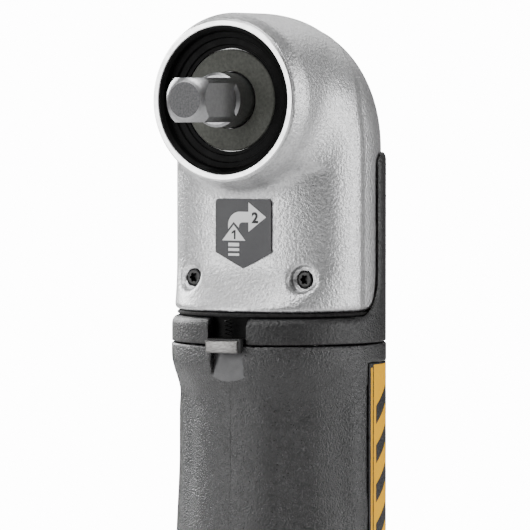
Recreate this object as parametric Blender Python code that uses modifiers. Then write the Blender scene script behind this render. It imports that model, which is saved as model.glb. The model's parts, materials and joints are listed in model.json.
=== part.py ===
"""Pneumatic ratchet wrench with a quick-change right-angle head, as an assembly of parts.

The tool stands upright: the handle axis is vertical and the square drive points along -Y.
The origin is the centre of the square drive's end face.  All sizes are in metres.
Under the root empty the handle axis is x = y = 0, and the drive axis is the line z = 0.
"""
import math

import bmesh
import bpy
from mathutils import Vector

MM = 0.001

# ---------------------------------------------------------------- driving sizes
GAP = 0.3 * MM                   # working gap between neighbouring pieces
SEGMENTS = 24                    # facets round a large turned piece
SMALL_SEGMENTS = 12              # facets round a pin or screw

# square drive and head barrel; "reach" is measured from the handle axis along -Y
DRIVE_SQUARE = 9.525 * MM
DRIVE_REACH = 41.0 * MM
SQUARE_LENGTH = 13.0 * MM
SHANK_RADIUS = 5.9 * MM
RIM_REACH = 25.0 * MM
RIM_RADIUS = 17.4 * MM
RIM_BORE = 15.4 * MM
CUP_DEPTH = 4.2 * MM
BARREL_RADIUS = 19.0 * MM
BARREL_SHOULDER = 3.6 * MM       # from the rim back to the full barrel
BARREL_TAIL = 6.0 * MM           # behind the handle axis
DRIVE_BORE = 13.4 * MM

# neck and dome of the head
NECK_RADIUS = 22.4 * MM
DOME_FOOT = 11.0 * MM            # below the drive axis, where the neck starts to dome over
DOME_TOP = 18.0 * MM             # above the drive axis
FRONT_FLAT = 15.6 * MM           # handle axis to the flat that carries the symbol plate
FLAT_TOP = 17.0 * MM             # below the drive axis
FLAT_BOTTOM = 41.5 * MM
HEAD_HEIGHT = 46.0 * MM          # drive axis to the foot of the housing
NECK_BORE = 11.3 * MM
SPIGOT_RADIUS = 14.6 * MM
SPIGOT_LENGTH = 9.7 * MM
PINION_BORE = 8.6 * MM
BUSHING_RADIUS = 6.7 * MM
BUSHING_DEPTH = 11.5 * MM        # behind the handle axis
HEAD_SCREW_X = 13.9 * MM
HEAD_SCREW_HEIGHT = 7.1 * MM     # above the foot of the housing
HEAD_SCREW_FACE = 13.4 * MM
HEAD_SCREW_MOUTH = 2.75 * MM
HEAD_SCREW_HEAD = 1.7 * MM
HEAD_SCREW_SHANK = 1.0 * MM
HEAD_SCREW_END = 1.5 * MM
SCREW_HEAD_LENGTH = 2.0 * MM

# quick-change joint
GASKET_THICKNESS = 1.2 * MM
COLLAR_HEIGHT = 5.9 * MM
COLLAR_STEP = 1.2 * MM            # collar outside the neck
COLLAR_WALL = 2.5 * MM
SHELL_TOP = 11.0 * MM            # top of the rear shell, below the drive axis
SHELL_HALF_ANGLE = 80.0          # degrees each way from the back
SHELL_THICKNESS = 0.8 * MM
SHELL_FIT = 0.45 * MM            # rear shell outside the neck
SKIRT_BORE = 17.5 * MM
HUB_RADIUS = 15.0 * MM
HUB_BORE = 12.6 * MM
LUG_COUNT = 4
LUG_WIDTH = 34.0                 # degrees
LUG_HEIGHT = 1.2 * MM
LATCH_WIDTH = 8.5 * MM
LATCH_BAR_HEIGHT = 2.2 * MM
WINDOW_CLEARANCE = 0.42 * MM

# handle
GRIP_LENGTH = 153.0 * MM
GRIP_WALL = 5.0 * MM
CASE_WALL = 1.1 * MM             # gear case round the ring gear
GRIP_SPLIT = 0.15 * MM           # half the gap between the two grip shells
END_WALL = 2.0 * MM
LABEL_DEPTH = 0.6 * MM
LABEL_LENGTH = 60.0 * MM
LABEL_DROP = 4.4 * MM            # below the seam
LABEL_MIDDLE = 108.0             # degrees from the front
LABEL_HALF_ANGLE = 22.0
SHELL_SCREW_REACH = 10.9 * MM
SHELL_SCREW_HEAD = 2.8 * MM
SHELL_SCREW_SHANK = 1.4 * MM
SHELL_SCREW_INSET = 5.7 * MM     # screw face inside the grip's radius

# gear train
SPUR_MODULE = 0.6 * MM
SUN_TEETH = 12
PLANET_TEETH = 18
RING_TEETH = SUN_TEETH + 2 * PLANET_TEETH
PLANET_COUNT = 3
SPUR_WIDTH = 6.0 * MM
RING_RIM = 2.6 * MM              # from the ring gear's pitch circle to its outside
BEVEL_MODULE = 1.0 * MM
PINION_TEETH = 12
CROWN_TEETH = 24
BEVEL_FACE = 4.0 * MM
PRESSURE_ANGLE = math.radians(22.5)
TOOTH_THINNING = 0.86            # share of the full tooth thickness
DOG_RADIUS = 10.5 * MM
DOG_BORE = 5.2 * MM
DOG_HALF_ANGLE = 18.0
DOG_DEPTH = 5.0 * MM
PINION_SHAFT = 4.0 * MM
CARRIER_SHAFT = 5.0 * MM
PLANET_PIN = 1.5 * MM
CARRIER_RIM = 2.3 * MM           # carrier plate outside the planet pins

# ratchet clutch
RATCHET_TEETH = 20
RATCHET_TIP = 7.2 * MM
RATCHET_ROOT = 8.4 * MM
PAWL_HUB = 6.7 * MM
PAWL_PIVOT = Vector((-2.2 * MM, 4.6 * MM))
PAWL_TIP = Vector((2.6 * MM, 7.1 * MM))
PAWL_PIN = 0.6 * MM
DETENT_BALL = 1.5 * MM
DETENT_PROUD = 0.6 * MM
DETENT_OFFSET = 6.5 * MM         # from the end of the square

# vane motor
MOTOR_RADIUS = 17.6 * MM
MOTOR_LENGTH = 43.0 * MM
ROTOR_RADIUS = 10.5 * MM
ROTOR_OFFSET = 1.4 * MM
ROTOR_SHAFT = 2.6 * MM
ROTOR_BEARING = 8.0 * MM
ROTOR_BEARING_WIDTH = 3.8 * MM
BLADE_COUNT = 5
BLADE_THICKNESS = 1.0 * MM
BLADE_DEPTH = 4.9 * MM

# throttle and air inlet
LEVER_LENGTH = 66.0 * MM
LEVER_WIDTH = 14.0 * MM
LEVER_LEAN = 8.5                 # degrees, at rest
LEVER_PIN = 1.5 * MM
STEM_RADIUS = 1.8 * MM
STEM_ARM = 18.0 * MM             # valve stem above the lever's pin
VALVE_PISTON = 3.0 * MM
PISTON_BACK = 4.5 * MM
PISTON_LENGTH = 8.0 * MM
AIR_PASSAGE = 4.0 * MM
KNOB_STEM = 2.5 * MM
KNOB_RADIUS = 7.5 * MM
KNOB_THICKNESS = 2.2 * MM
INLET_BORE = 6.2 * MM            # quarter-inch pipe thread, without its thread
INLET_NECK = 11.0 * MM
INLET_HEX = 22.0 * MM            # across flats
INLET_LENGTH = 18.0 * MM
INLET_FLANGE = 16.5 * MM
DEFLECTOR_HEIGHT = 10.0 * MM
DEFLECTOR_RADIUS = 20.5 * MM
DEFLECTOR_BORE = 17.5 * MM
DEFLECTOR_SLOTS = 5

# ---------------------------------------------------------------- levels worked out from them
RING_OUTER = SPUR_MODULE * RING_TEETH / 2 + RING_RIM
CASE_BORE = RING_OUTER + GAP
CASE_RADIUS = CASE_BORE + CASE_WALL
GRIP_CAVITY = CASE_RADIUS + GAP
GRIP_RADIUS = GRIP_CAVITY + GRIP_WALL
COLLAR_RADIUS = NECK_RADIUS + COLLAR_STEP
LATCH_BAR_REACH = max(COLLAR_RADIUS, GRIP_RADIUS) + GAP
HEAD_SCREW_Z = -HEAD_HEIGHT + HEAD_SCREW_HEIGHT
DETENT_REACH = DRIVE_REACH - DETENT_OFFSET
COLLAR_TOP = -(HEAD_HEIGHT + GASKET_THICKNESS)
SEAM = COLLAR_TOP - COLLAR_HEIGHT
SKIRT_RADIUS = COLLAR_RADIUS - COLLAR_WALL - GAP
COLLAR_BORE = COLLAR_RADIUS - COLLAR_WALL
DRIVE_AXIS_TURN = (math.pi / 2, 0.0, 0.0)      # turns a piece's own +Z to the tool's -Y

CROWN_PITCH = BEVEL_MODULE * CROWN_TEETH / 2
CROWN_HUB_FRONT = 14.2 * MM
BEARING_FRONT = RIM_REACH - CUP_DEPTH - GAP
PINION_SEAT = CROWN_PITCH + 2.7 * MM
PINION_BEARING_LENGTH = 7.0 * MM

DRIVEN_DOG_TOP = -HEAD_HEIGHT + 4.5 * MM
DRIVEN_DOG_DISC = 3.0 * MM
HUB_TOP = SEAM + 4.8 * MM
HUB_FLANGE = SEAM - 2.7 * MM
HUB_FLANGE_THICKNESS = 2.5 * MM
DRIVER_DOG_TOP = SEAM + 0.6 * MM
DRIVER_DOG_DISC = 3.0 * MM
CARRIER_TOP = SEAM - 12.9 * MM
CARRIER_THICKNESS = 3.0 * MM
PLANET_TOP = CARRIER_TOP - CARRIER_THICKNESS - 0.4 * MM
PLANET_CENTRE = SPUR_MODULE * (SUN_TEETH + PLANET_TEETH) / 2
CASE_BOTTOM = PLANET_TOP - SPUR_WIDTH - 14.6 * MM
SCREW_ROW_ONE = CASE_BOTTOM - 7.0 * MM
PLATE_THICKNESS = 5.0 * MM
MOTOR_TOP = SCREW_ROW_ONE - 9.0 * MM - GAP
MOTOR_BOTTOM = MOTOR_TOP - MOTOR_LENGTH
SCREW_ROW_TWO = MOTOR_BOTTOM - 11.0 * MM
GRIP_BOTTOM = SEAM - GRIP_LENGTH
INLET_FLANGE_TOP = GRIP_BOTTOM + END_WALL + 5.0 * MM
BLOCK_BOTTOM = INLET_FLANGE_TOP + GAP
BLOCK_TOP = SCREW_ROW_TWO - 5.0 * MM
PIN_LEVEL = GRIP_BOTTOM + 5.0 * MM
PIN_REACH = GRIP_RADIUS + 1.3 * MM
STEM_LEVEL = PIN_LEVEL + STEM_ARM
KNOB_LEVEL = STEM_LEVEL + 9.0 * MM
BLOCK_RADIUS = GRIP_CAVITY - 1.2 * MM
LABEL_TOP = SEAM - LABEL_DROP
SHELL_SCREW_FACE = GRIP_RADIUS - SHELL_SCREW_INSET
SHELL_SCREW_PLACES = [(SCREW_ROW_ONE, -SHELL_SCREW_REACH), (SCREW_ROW_ONE, SHELL_SCREW_REACH),
                      (SCREW_ROW_TWO, -SHELL_SCREW_REACH), (SCREW_ROW_TWO, SHELL_SCREW_REACH)]


# ---------------------------------------------------------------- scene and materials
def empty_scene():
    """Remove what is in the scene, and make the collections for parts and for tools."""
    for item in list(bpy.data.objects):
        bpy.data.objects.remove(item)
    made = []
    for name in ("air_ratchet", "air_ratchet_tools"):
        collection = bpy.data.collections.new(name)
        bpy.context.scene.collection.children.link(collection)
        made.append(collection)
    return made


PARTS, TOOLS = empty_scene()


def finish(name, colour, metallic, roughness):
    """A Principled material of one colour."""
    made = bpy.data.materials.new(name)
    made.use_nodes = True
    shader = made.node_tree.nodes["Principled BSDF"]
    shader.inputs["Base Color"].default_value = (*colour, 1.0)
    shader.inputs["Metallic"].default_value = metallic
    shader.inputs["Roughness"].default_value = roughness
    return made


SILVER = finish("cast_silver", (0.55, 0.55, 0.54), 0.85, 0.42)
DARK_STEEL = finish("dark_steel", (0.10, 0.10, 0.10), 0.9, 0.45)
ANVIL_STEEL = finish("anvil_steel", (0.32, 0.31, 0.29), 1.0, 0.35)
WASHER_GREY = finish("washer_grey", (0.11, 0.12, 0.11), 0.3, 0.7)
BLACK_PLASTIC = finish("black_plastic", (0.035, 0.035, 0.037), 0.0, 0.55)
GRIP_PLASTIC = finish("grip_plastic", (0.05, 0.05, 0.052), 0.0, 0.75)
GASKET_RUBBER = finish("gasket_rubber", (0.03, 0.03, 0.03), 0.0, 0.8)
DECAL_GREY = finish("decal_grey", (0.07, 0.075, 0.08), 0.0, 0.6)
LABEL_YELLOW = finish("label_yellow", (0.95, 0.52, 0.03), 0.0, 0.5)
GEAR_STEEL = finish("gear_steel", (0.45, 0.45, 0.45), 1.0, 0.35)
BEARING_STEEL = finish("bearing_steel", (0.6, 0.6, 0.6), 1.0, 0.25)
BRONZE = finish("sintered_bronze", (0.45, 0.28, 0.12), 0.9, 0.45)
ALUMINIUM = finish("cast_aluminium", (0.62, 0.62, 0.63), 0.9, 0.5)
BLADE_RESIN = finish("blade_resin", (0.18, 0.09, 0.04), 0.0, 0.7)
SPRING_STEEL = finish("spring_steel", (0.5, 0.5, 0.5), 1.0, 0.3)
ZINC = finish("zinc_plated", (0.6, 0.6, 0.58), 1.0, 0.35)


# ---------------------------------------------------------------- making and placing
def put(item, material=None, parent=None, at=(0.0, 0.0, 0.0), turn=(0.0, 0.0, 0.0)):
    """Link an object as a part, or as a hidden tool when it has no material."""
    if material is None:
        TOOLS.objects.link(item)
        item.hide_render = True
        item.display_type = "WIRE"
    else:
        PARTS.objects.link(item)
        item.data.materials.append(material)
    item.parent = parent or ROOT
    item.location = at
    item.rotation_euler = turn
    return item


def frame_at(name, at=(0.0, 0.0, 0.0), turn=(0.0, 0.0, 0.0), parent=None):
    """An empty that carries the pieces of one moving body."""
    made = bpy.data.objects.new(name, None)
    PARTS.objects.link(made)
    made.parent = parent
    made.location = at
    made.rotation_euler = turn
    return made


def mesh_object(name, mesh_builder):
    """An object whose mesh is filled in by a function of a bmesh."""
    mesh = bpy.data.meshes.new(name)
    work = bmesh.new()
    mesh_builder(work)
    bmesh.ops.recalc_face_normals(work, faces=work.faces)
    work.to_mesh(mesh)
    work.free()
    mesh.shade_smooth()
    mesh.set_sharp_from_angle(angle=math.radians(35))
    return bpy.data.objects.new(name, mesh)


def block(name, low, high, rounding=0.0, **place):
    """A box between two corners, with rounded edges if asked."""
    low, high = Vector(low), Vector(high)

    def build(work):
        bmesh.ops.create_cube(work, size=1.0)
        bmesh.ops.scale(work, vec=high - low, verts=work.verts)
        bmesh.ops.translate(work, vec=(low + high) / 2, verts=work.verts)

    item = put(mesh_object(name, build), **place)
    if rounding:
        bevel = item.modifiers.new("rounding", "BEVEL")
        bevel.width = rounding
        bevel.segments = 2
    return item


def rod(name, radius, low, high, segments=SMALL_SEGMENTS, end_radius=None, **place):
    """A cylinder, or a cone, along the piece's own Z axis."""
    end_radius = radius if end_radius is None else end_radius

    def build(work):
        bmesh.ops.create_cone(work, cap_ends=True, segments=segments, radius1=radius,
                              radius2=end_radius, depth=high - low)
        bmesh.ops.translate(work, vec=(0.0, 0.0, (low + high) / 2), verts=work.verts)

    return put(mesh_object(name, build), **place)


def turned(name, profile, ring=False, segments=SEGMENTS, **place):
    """A turned piece from (radius, height) points that run down its outer side."""
    mesh = bpy.data.meshes.new(name)
    count = len(profile)
    edges = [(i, i + 1) for i in range(count - 1)]
    if ring:
        edges.append((count - 1, 0))
    mesh.from_pydata([(radius, 0.0, height) for radius, height in profile], edges, [])
    item = put(bpy.data.objects.new(name, mesh), **place)
    screw = item.modifiers.new("turning", "SCREW")
    screw.steps = segments
    screw.render_steps = segments
    screw.use_merge_vertices = True
    screw.merge_threshold = 0.00001
    screw.use_smooth_shade = False
    return item


def tube(name, outer, inner, low, high, **place):
    """A plain ring or sleeve."""
    return turned(name, [(outer, high), (outer, low), (inner, low), (inner, high)],
                  ring=True, **place)


def flat_piece(name, outlines, low, high, **place):
    """Closed outlines filled and given a thickness, as a mesh that can be cut and joined."""
    curve = bpy.data.curves.new(name, "CURVE")
    curve.dimensions = "2D"
    curve.fill_mode = "BOTH"
    curve.extrude = (high - low) / 2
    for outline in outlines:
        spline = curve.splines.new("POLY")
        spline.points.add(len(outline) - 1)
        for point, (x, y) in zip(spline.points, outline):
            point.co = (x, y, 0.0, 1.0)
        spline.use_cyclic_u = True
    drawn = bpy.data.objects.new(name + "_outline", curve)
    TOOLS.objects.link(drawn)
    mesh = bpy.data.meshes.new_from_object(drawn.evaluated_get(
        bpy.context.evaluated_depsgraph_get()))
    bpy.data.objects.remove(drawn)

    def build(work):
        work.from_mesh(mesh)
        bmesh.ops.remove_doubles(work, verts=work.verts, dist=0.000005)
        bmesh.ops.translate(work, vec=(0.0, 0.0, (low + high) / 2), verts=work.verts)

    return put(mesh_object(name, build), **place)


def coil(name, radius, wire, low, high, turns, points_per_turn=8, **place):
    """A helical spring along the piece's own Z axis."""
    curve = bpy.data.curves.new(name, "CURVE")
    curve.dimensions = "3D"
    curve.bevel_depth = wire / 2
    curve.bevel_resolution = 0
    curve.use_fill_caps = True
    count = turns * points_per_turn + 1
    spline = curve.splines.new("POLY")
    spline.points.add(count - 1)
    for i, point in enumerate(spline.points):
        angle = math.tau * i / points_per_turn
        height = low + (high - low) * i / (count - 1)
        point.co = (radius * math.cos(angle), radius * math.sin(angle), height, 1.0)
    return put(bpy.data.objects.new(name, curve), **place)


def combine(item, other, operation):
    """Join, cut or intersect an object with a hidden tool."""
    step = item.modifiers.new(operation.lower() + "_" + other.name, "BOOLEAN")
    step.operation = operation
    step.object = other
    step.solver = "EXACT"
    return item


def join(item, *others):
    for other in others:
        combine(item, other, "UNION")
    return item


def cut(item, *others):
    for other in others:
        combine(item, other, "DIFFERENCE")
    return item


def keep(item, other):
    return combine(item, other, "INTERSECT")


# ---------------------------------------------------------------- outlines
def polar(radius, degrees):
    return (radius * math.cos(math.radians(degrees)), radius * math.sin(math.radians(degrees)))


def circle(radius, count=SEGMENTS, centre=(0.0, 0.0)):
    steps = [360.0 * i / count for i in range(count)]
    return [(polar(radius, a)[0] + centre[0], polar(radius, a)[1] + centre[1]) for a in steps]


def sector(inner, outer, middle, half_angle, steps=4):
    """A piece of a ring, as a closed outline."""
    angles = [middle - half_angle + 2 * half_angle * i / steps for i in range(steps + 1)]
    outside = [polar(outer, a) for a in angles]
    inside = [polar(inner, a) for a in reversed(angles)]
    return outside + inside


def involute(angle):
    return math.tan(angle) - angle


def flank(radius, pitch_radius, teeth, thickness):
    """Half the angle that an involute tooth fills at a radius."""
    base = pitch_radius * math.cos(PRESSURE_ANGLE)
    here = math.acos(min(1.0, base / radius))
    return math.pi / (2 * teeth) * thickness + involute(PRESSURE_ANGLE) - involute(here)


def tooth_rows(pitch_radius, teeth, root, tip, thickness):
    """(radius, half angle) at the root and the tip of one tooth."""
    rows = []
    for share in (0.0, 1.0):
        radius = root + (tip - root) * share
        rows.append((radius, flank(radius, pitch_radius, teeth, thickness)))
    return rows


def gear_outline(teeth, module, phase=0.0, inside=False):
    """A spur gear's outline; an inside gear's teeth point at its centre."""
    pitch_radius = module * teeth / 2
    if inside:
        rows = tooth_rows(pitch_radius, teeth, pitch_radius - module, pitch_radius + 1.25 * module,
                          2.0 - TOOTH_THINNING)
    else:
        rows = tooth_rows(pitch_radius, teeth, pitch_radius - 1.25 * module,
                          pitch_radius + module, TOOTH_THINNING)
    points = []
    for i in range(teeth):
        middle = math.tau * i / teeth + phase
        sides = [(r, middle - a) for r, a in rows] + [(r, middle + a) for r, a in reversed(rows)]
        points += [(r * math.cos(a), r * math.sin(a)) for r, a in sides]
    return points


def bevel_gear_mesh(teeth, mate_teeth, phase):
    """A function that fills a bmesh with a bevel gear, apex at the origin, along +Z."""
    pitch_angle = math.atan2(teeth, mate_teeth)
    pitch_radius = BEVEL_MODULE * teeth / 2
    cone = pitch_radius / math.sin(pitch_angle)
    virtual_radius = pitch_radius / math.cos(pitch_angle)
    virtual_teeth = teeth / math.cos(pitch_angle)
    rows = tooth_rows(virtual_radius, virtual_teeth, virtual_radius - 1.25 * BEVEL_MODULE,
                      virtual_radius + 0.9 * BEVEL_MODULE, TOOTH_THINNING)
    root_height = cone / math.cos(pitch_angle) - rows[0][0] * math.sin(pitch_angle)

    def build(work):
        ends = []
        for scale in (1.0, 1.0 - BEVEL_FACE / cone):
            verts = []
            for i in range(teeth):
                middle = math.tau * i / teeth + phase
                sides = [(r, -a) for r, a in rows] + [(r, a) for r, a in reversed(rows)]
                for r, a in sides:
                    angle = middle + a / math.cos(pitch_angle)
                    radius = r * math.cos(pitch_angle) * scale
                    height = (cone / math.cos(pitch_angle) - r * math.sin(pitch_angle)) * scale
                    verts.append(work.verts.new((radius * math.cos(angle),
                                                 radius * math.sin(angle), height)))
            centre = work.verts.new((0.0, 0.0, root_height * scale))
            ends.append((verts, centre))
        count = len(ends[0][0])
        for verts, centre in ends:
            for i in range(count):
                work.faces.new((verts[i], verts[(i + 1) % count], centre))
        for i in range(count):
            j = (i + 1) % count
            work.faces.new((ends[0][0][i], ends[0][0][j], ends[1][0][j], ends[1][0][i]))

    return build


# ---------------------------------------------------------------- bodies
ROOT = frame_at("tool_root", at=(0.0, DRIVE_REACH, 0.0))
HEAD = frame_at("head_frame", parent=ROOT)
DRIVE = frame_at("drive_frame", turn=DRIVE_AXIS_TURN, parent=ROOT)
ROTOR = frame_at("rotor_frame", parent=ROOT)
LEVER = frame_at("lever_frame", at=(0.0, -PIN_REACH, PIN_LEVEL),
                 turn=(math.radians(LEVER_LEAN), 0.0, 0.0), parent=ROOT)


# ---------------------------------------------------------------- head
def head_housing():
    """The cast head: domed neck, barrel with a machined rim, flat front and inner bores."""
    steps = 8
    rise = DOME_TOP + DOME_FOOT
    profile = [(NECK_RADIUS * math.sin(math.pi / 2 * i / steps),
                rise * math.cos(math.pi / 2 * i / steps) - DOME_FOOT) for i in range(steps + 1)]
    profile[0] = (0.0, profile[0][1])
    profile += [(NECK_RADIUS, -HEAD_HEIGHT + 3.0 * MM),
                (NECK_RADIUS + GAP, -HEAD_HEIGHT + 2.0 * MM),
                (NECK_RADIUS + GAP, -HEAD_HEIGHT), (0.0, -HEAD_HEIGHT)]
    housing = turned("head_housing", profile, material=SILVER, parent=HEAD)
    barrel = turned("barrel_tool", [
        (0.0, RIM_REACH), (RIM_RADIUS, RIM_REACH),
        (BARREL_RADIUS - 0.2 * MM, RIM_REACH - BARREL_SHOULDER),
        (BARREL_RADIUS, RIM_REACH - BARREL_SHOULDER - 1.0 * MM), (BARREL_RADIUS, 0.0),
        (BARREL_RADIUS - 0.8 * MM, -BARREL_TAIL / 2), (BARREL_RADIUS - 3.0 * MM, -BARREL_TAIL),
        (0.0, -BARREL_TAIL)], parent=DRIVE)
    flat = block("front_flat_tool", (-30 * MM, -30 * MM, -FLAT_BOTTOM),
                 (30 * MM, -FRONT_FLAT, -FLAT_TOP), parent=HEAD)
    clear = max(RIM_REACH, NECK_RADIUS) + 1 * MM
    drive_bore = turned("drive_bore_tool", [
        (0.0, clear), (RIM_BORE, clear),
        (RIM_BORE, RIM_REACH - CUP_DEPTH), (DRIVE_BORE, RIM_REACH - CUP_DEPTH),
        (DRIVE_BORE, 0.5 * MM), (BUSHING_RADIUS + GAP, 0.5 * MM),
        (BUSHING_RADIUS + GAP, -BUSHING_DEPTH - 0.5 * MM), (0.0, -BUSHING_DEPTH - 0.5 * MM)],
        parent=DRIVE)
    neck_bore = turned("neck_bore_tool", [
        (0.0, -5.0 * MM), (PINION_BORE, -5.0 * MM), (PINION_BORE, -PINION_SEAT),
        (NECK_BORE, -PINION_SEAT), (NECK_BORE, -HEAD_HEIGHT + SPIGOT_LENGTH + GAP),
        (SPIGOT_RADIUS + GAP, -HEAD_HEIGHT + SPIGOT_LENGTH + GAP),
        (SPIGOT_RADIUS + GAP, -HEAD_HEIGHT - 1 * MM), (0.0, -HEAD_HEIGHT - 1 * MM)], parent=HEAD)
    cut(housing, flat)
    join(housing, barrel)
    cut(housing, drive_bore, neck_bore)
    for side in (-1, 1):
        cut(housing, *head_screw_holes(side))
    return housing


def head_screw_holes(side):
    """Counterbore and shank hole for one of the two screws that hold the bayonet ring."""
    where = {"parent": HEAD, "at": (side * HEAD_SCREW_X, 0.0, HEAD_SCREW_Z),
             "turn": DRIVE_AXIS_TURN}
    name = "left" if side < 0 else "right"
    mouth = rod(f"head_screw_mouth_{name}", HEAD_SCREW_MOUTH, HEAD_SCREW_FACE, 25 * MM, **where)
    seat = rod(f"head_screw_seat_{name}", HEAD_SCREW_HEAD + GAP,
               HEAD_SCREW_FACE - SCREW_HEAD_LENGTH - GAP, HEAD_SCREW_FACE + 0.5 * MM, **where)
    shank = rod(f"head_screw_hole_{name}", HEAD_SCREW_SHANK + GAP, HEAD_SCREW_END - GAP,
                HEAD_SCREW_FACE, **where)
    return mouth, seat, shank


def head_screws():
    """Two socket-head screws in the front of the neck."""
    for side, name in ((-1, "head_screw_left"), (1, "head_screw_right")):
        where = {"parent": HEAD, "at": (side * HEAD_SCREW_X, 0.0, HEAD_SCREW_Z),
                 "turn": DRIVE_AXIS_TURN}
        screw = turned(name, [
            (0.0, HEAD_SCREW_FACE), (HEAD_SCREW_HEAD, HEAD_SCREW_FACE),
            (HEAD_SCREW_HEAD, HEAD_SCREW_FACE - SCREW_HEAD_LENGTH),
            (HEAD_SCREW_SHANK, HEAD_SCREW_FACE - SCREW_HEAD_LENGTH),
            (HEAD_SCREW_SHANK, HEAD_SCREW_END),
            (0.0, HEAD_SCREW_END)], segments=SMALL_SEGMENTS, material=ZINC, **where)
        socket = rod(name + "_socket", 0.95 * MM, HEAD_SCREW_FACE - 1.2 * MM,
                     HEAD_SCREW_FACE + 1 * MM, segments=6, **where)
        cut(screw, socket)


def nose_pieces():
    """The threaded cup inside the rim, the dust washer and the bearings of the spindle."""
    back = RIM_REACH - CUP_DEPTH + GAP
    front = RIM_REACH - 0.5 * MM
    outer = RIM_BORE - GAP
    turned("nose_cup", [(outer, front), (outer, back), (11.3 * MM, back),
                        (11.3 * MM, back + 0.6 * MM), (12.6 * MM, back + 0.8 * MM),
                        (outer - 0.7 * MM, front)], ring=True, material=DARK_STEEL, parent=DRIVE)
    tube("dust_washer", 11.0 * MM, SHANK_RADIUS + GAP, BEARING_FRONT + GAP,
         BEARING_FRONT + 1.0 * MM, material=WASHER_GREY, parent=DRIVE)
    tube("front_bearing", DRIVE_BORE - GAP, SHANK_RADIUS + GAP, CROWN_HUB_FRONT + GAP,
         BEARING_FRONT, material=BEARING_STEEL, parent=DRIVE)
    tube("rear_bushing", BUSHING_RADIUS, 3.8 * MM, -BUSHING_DEPTH, -BUSHING_DEPTH + 6.0 * MM,
         material=BRONZE, parent=DRIVE)


def crown_gear():
    """The driven bevel gear, with the ratchet teeth in its hub."""
    pinion_phase = math.pi / CROWN_TEETH
    gear = put(mesh_object("crown_gear", bevel_gear_mesh(CROWN_TEETH, PINION_TEETH,
                                                         pinion_phase - math.pi / 2)),
               material=GEAR_STEEL, parent=DRIVE)
    hub = rod("crown_hub_tool", 11.2 * MM, 6.6 * MM, CROWN_HUB_FRONT, segments=SEGMENTS,
              parent=DRIVE)
    bore = rod("crown_bore_tool", 5.2 * MM, 0.0, CROWN_HUB_FRONT, parent=DRIVE)
    pitch = math.tau / RATCHET_TEETH
    tip_angle = math.atan2(PAWL_TIP.y, PAWL_TIP.x) - math.radians(2.6)
    outline = []
    for i in range(RATCHET_TEETH):
        start = tip_angle + pitch * i
        for radius, angle in ((RATCHET_ROOT, start), (RATCHET_TIP, start + 0.97 * pitch)):
            outline.append((radius * math.cos(angle), radius * math.sin(angle)))
    teeth = flat_piece("ratchet_teeth_tool", [outline], 7.6 * MM, CROWN_HUB_FRONT + 1 * MM,
                       parent=DRIVE)
    join(gear, hub)
    cut(gear, bore, teeth)


def anvil_spindle():
    """The output spindle: rear journal, pawl hub, shank and square drive."""
    square_back = DRIVE_REACH - SQUARE_LENGTH
    spindle = turned("anvil_spindle", [
        (0.0, square_back + 0.01 * MM), (SHANK_RADIUS, square_back + 0.01 * MM),
        (SHANK_RADIUS, CROWN_HUB_FRONT - GAP), (PAWL_HUB, CROWN_HUB_FRONT - GAP),
        (PAWL_HUB, 7.9 * MM), (4.7 * MM, 7.9 * MM), (4.7 * MM, 3.0 * MM), (3.5 * MM, 2.4 * MM),
        (3.5 * MM, -11.0 * MM), (0.0, -11.0 * MM)], material=ANVIL_STEEL, parent=DRIVE)
    half = DRIVE_SQUARE / 2
    square = block("square_tool", (-half, -half, square_back - 3 * MM), (half, half, DRIVE_REACH),
                   parent=DRIVE)
    corners = turned("square_corner_tool", [
        (0.0, DRIVE_REACH), (DRIVE_SQUARE * 0.404, DRIVE_REACH),
        (DRIVE_SQUARE * 0.62, DRIVE_REACH - 2.0 * MM),
        (DRIVE_SQUARE * 0.62, square_back - 4 * MM), (0.0, square_back - 4 * MM)], parent=DRIVE)
    keep(square, corners)
    join(spindle, square)
    for turn in (0.0, math.pi):
        where = {"parent": DRIVE, "turn": (0.0, 0.0, turn)}
        name = "a" if turn == 0.0 else "b"
        pocket = block(f"pawl_pocket_{name}", (-4.2 * MM, 3.0 * MM, 8.7 * MM),
                       (3.9 * MM, 10 * MM, 13.1 * MM), **where)
        pin = rod(f"pawl_pin_{name}", PAWL_PIN, 8.2 * MM, 13.6 * MM, segments=12,
                  parent=DRIVE, at=(PAWL_PIVOT.x * math.cos(turn), PAWL_PIVOT.y * math.cos(turn),
                                    0.0))
        cut(spindle, pocket)
        join(spindle, pin)
    hole = rod("detent_hole_tool", DETENT_BALL + GAP, -0.8 * MM, 8 * MM, parent=DRIVE,
               at=(0.0, 0.0, DETENT_REACH), turn=(0.0, -math.pi / 2, 0.0))
    cut(spindle, hole)


def detent():
    """The sprung ball in the -X face of the square."""
    centre = DRIVE_SQUARE / 2 + DETENT_PROUD - DETENT_BALL

    def build(work):
        bmesh.ops.create_uvsphere(work, u_segments=10, v_segments=6, radius=DETENT_BALL)

    put(mesh_object("detent_ball", build), material=BEARING_STEEL, parent=DRIVE,
        at=(-centre, 0.0, DETENT_REACH))
    coil("detent_spring", 0.9 * MM, 0.3 * MM, -0.4 * MM, centre - DETENT_BALL - 0.5 * MM, 3,
         material=SPRING_STEEL, parent=DRIVE, at=(0.0, 0.0, DETENT_REACH),
         turn=(0.0, -math.pi / 2, 0.0))


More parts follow.
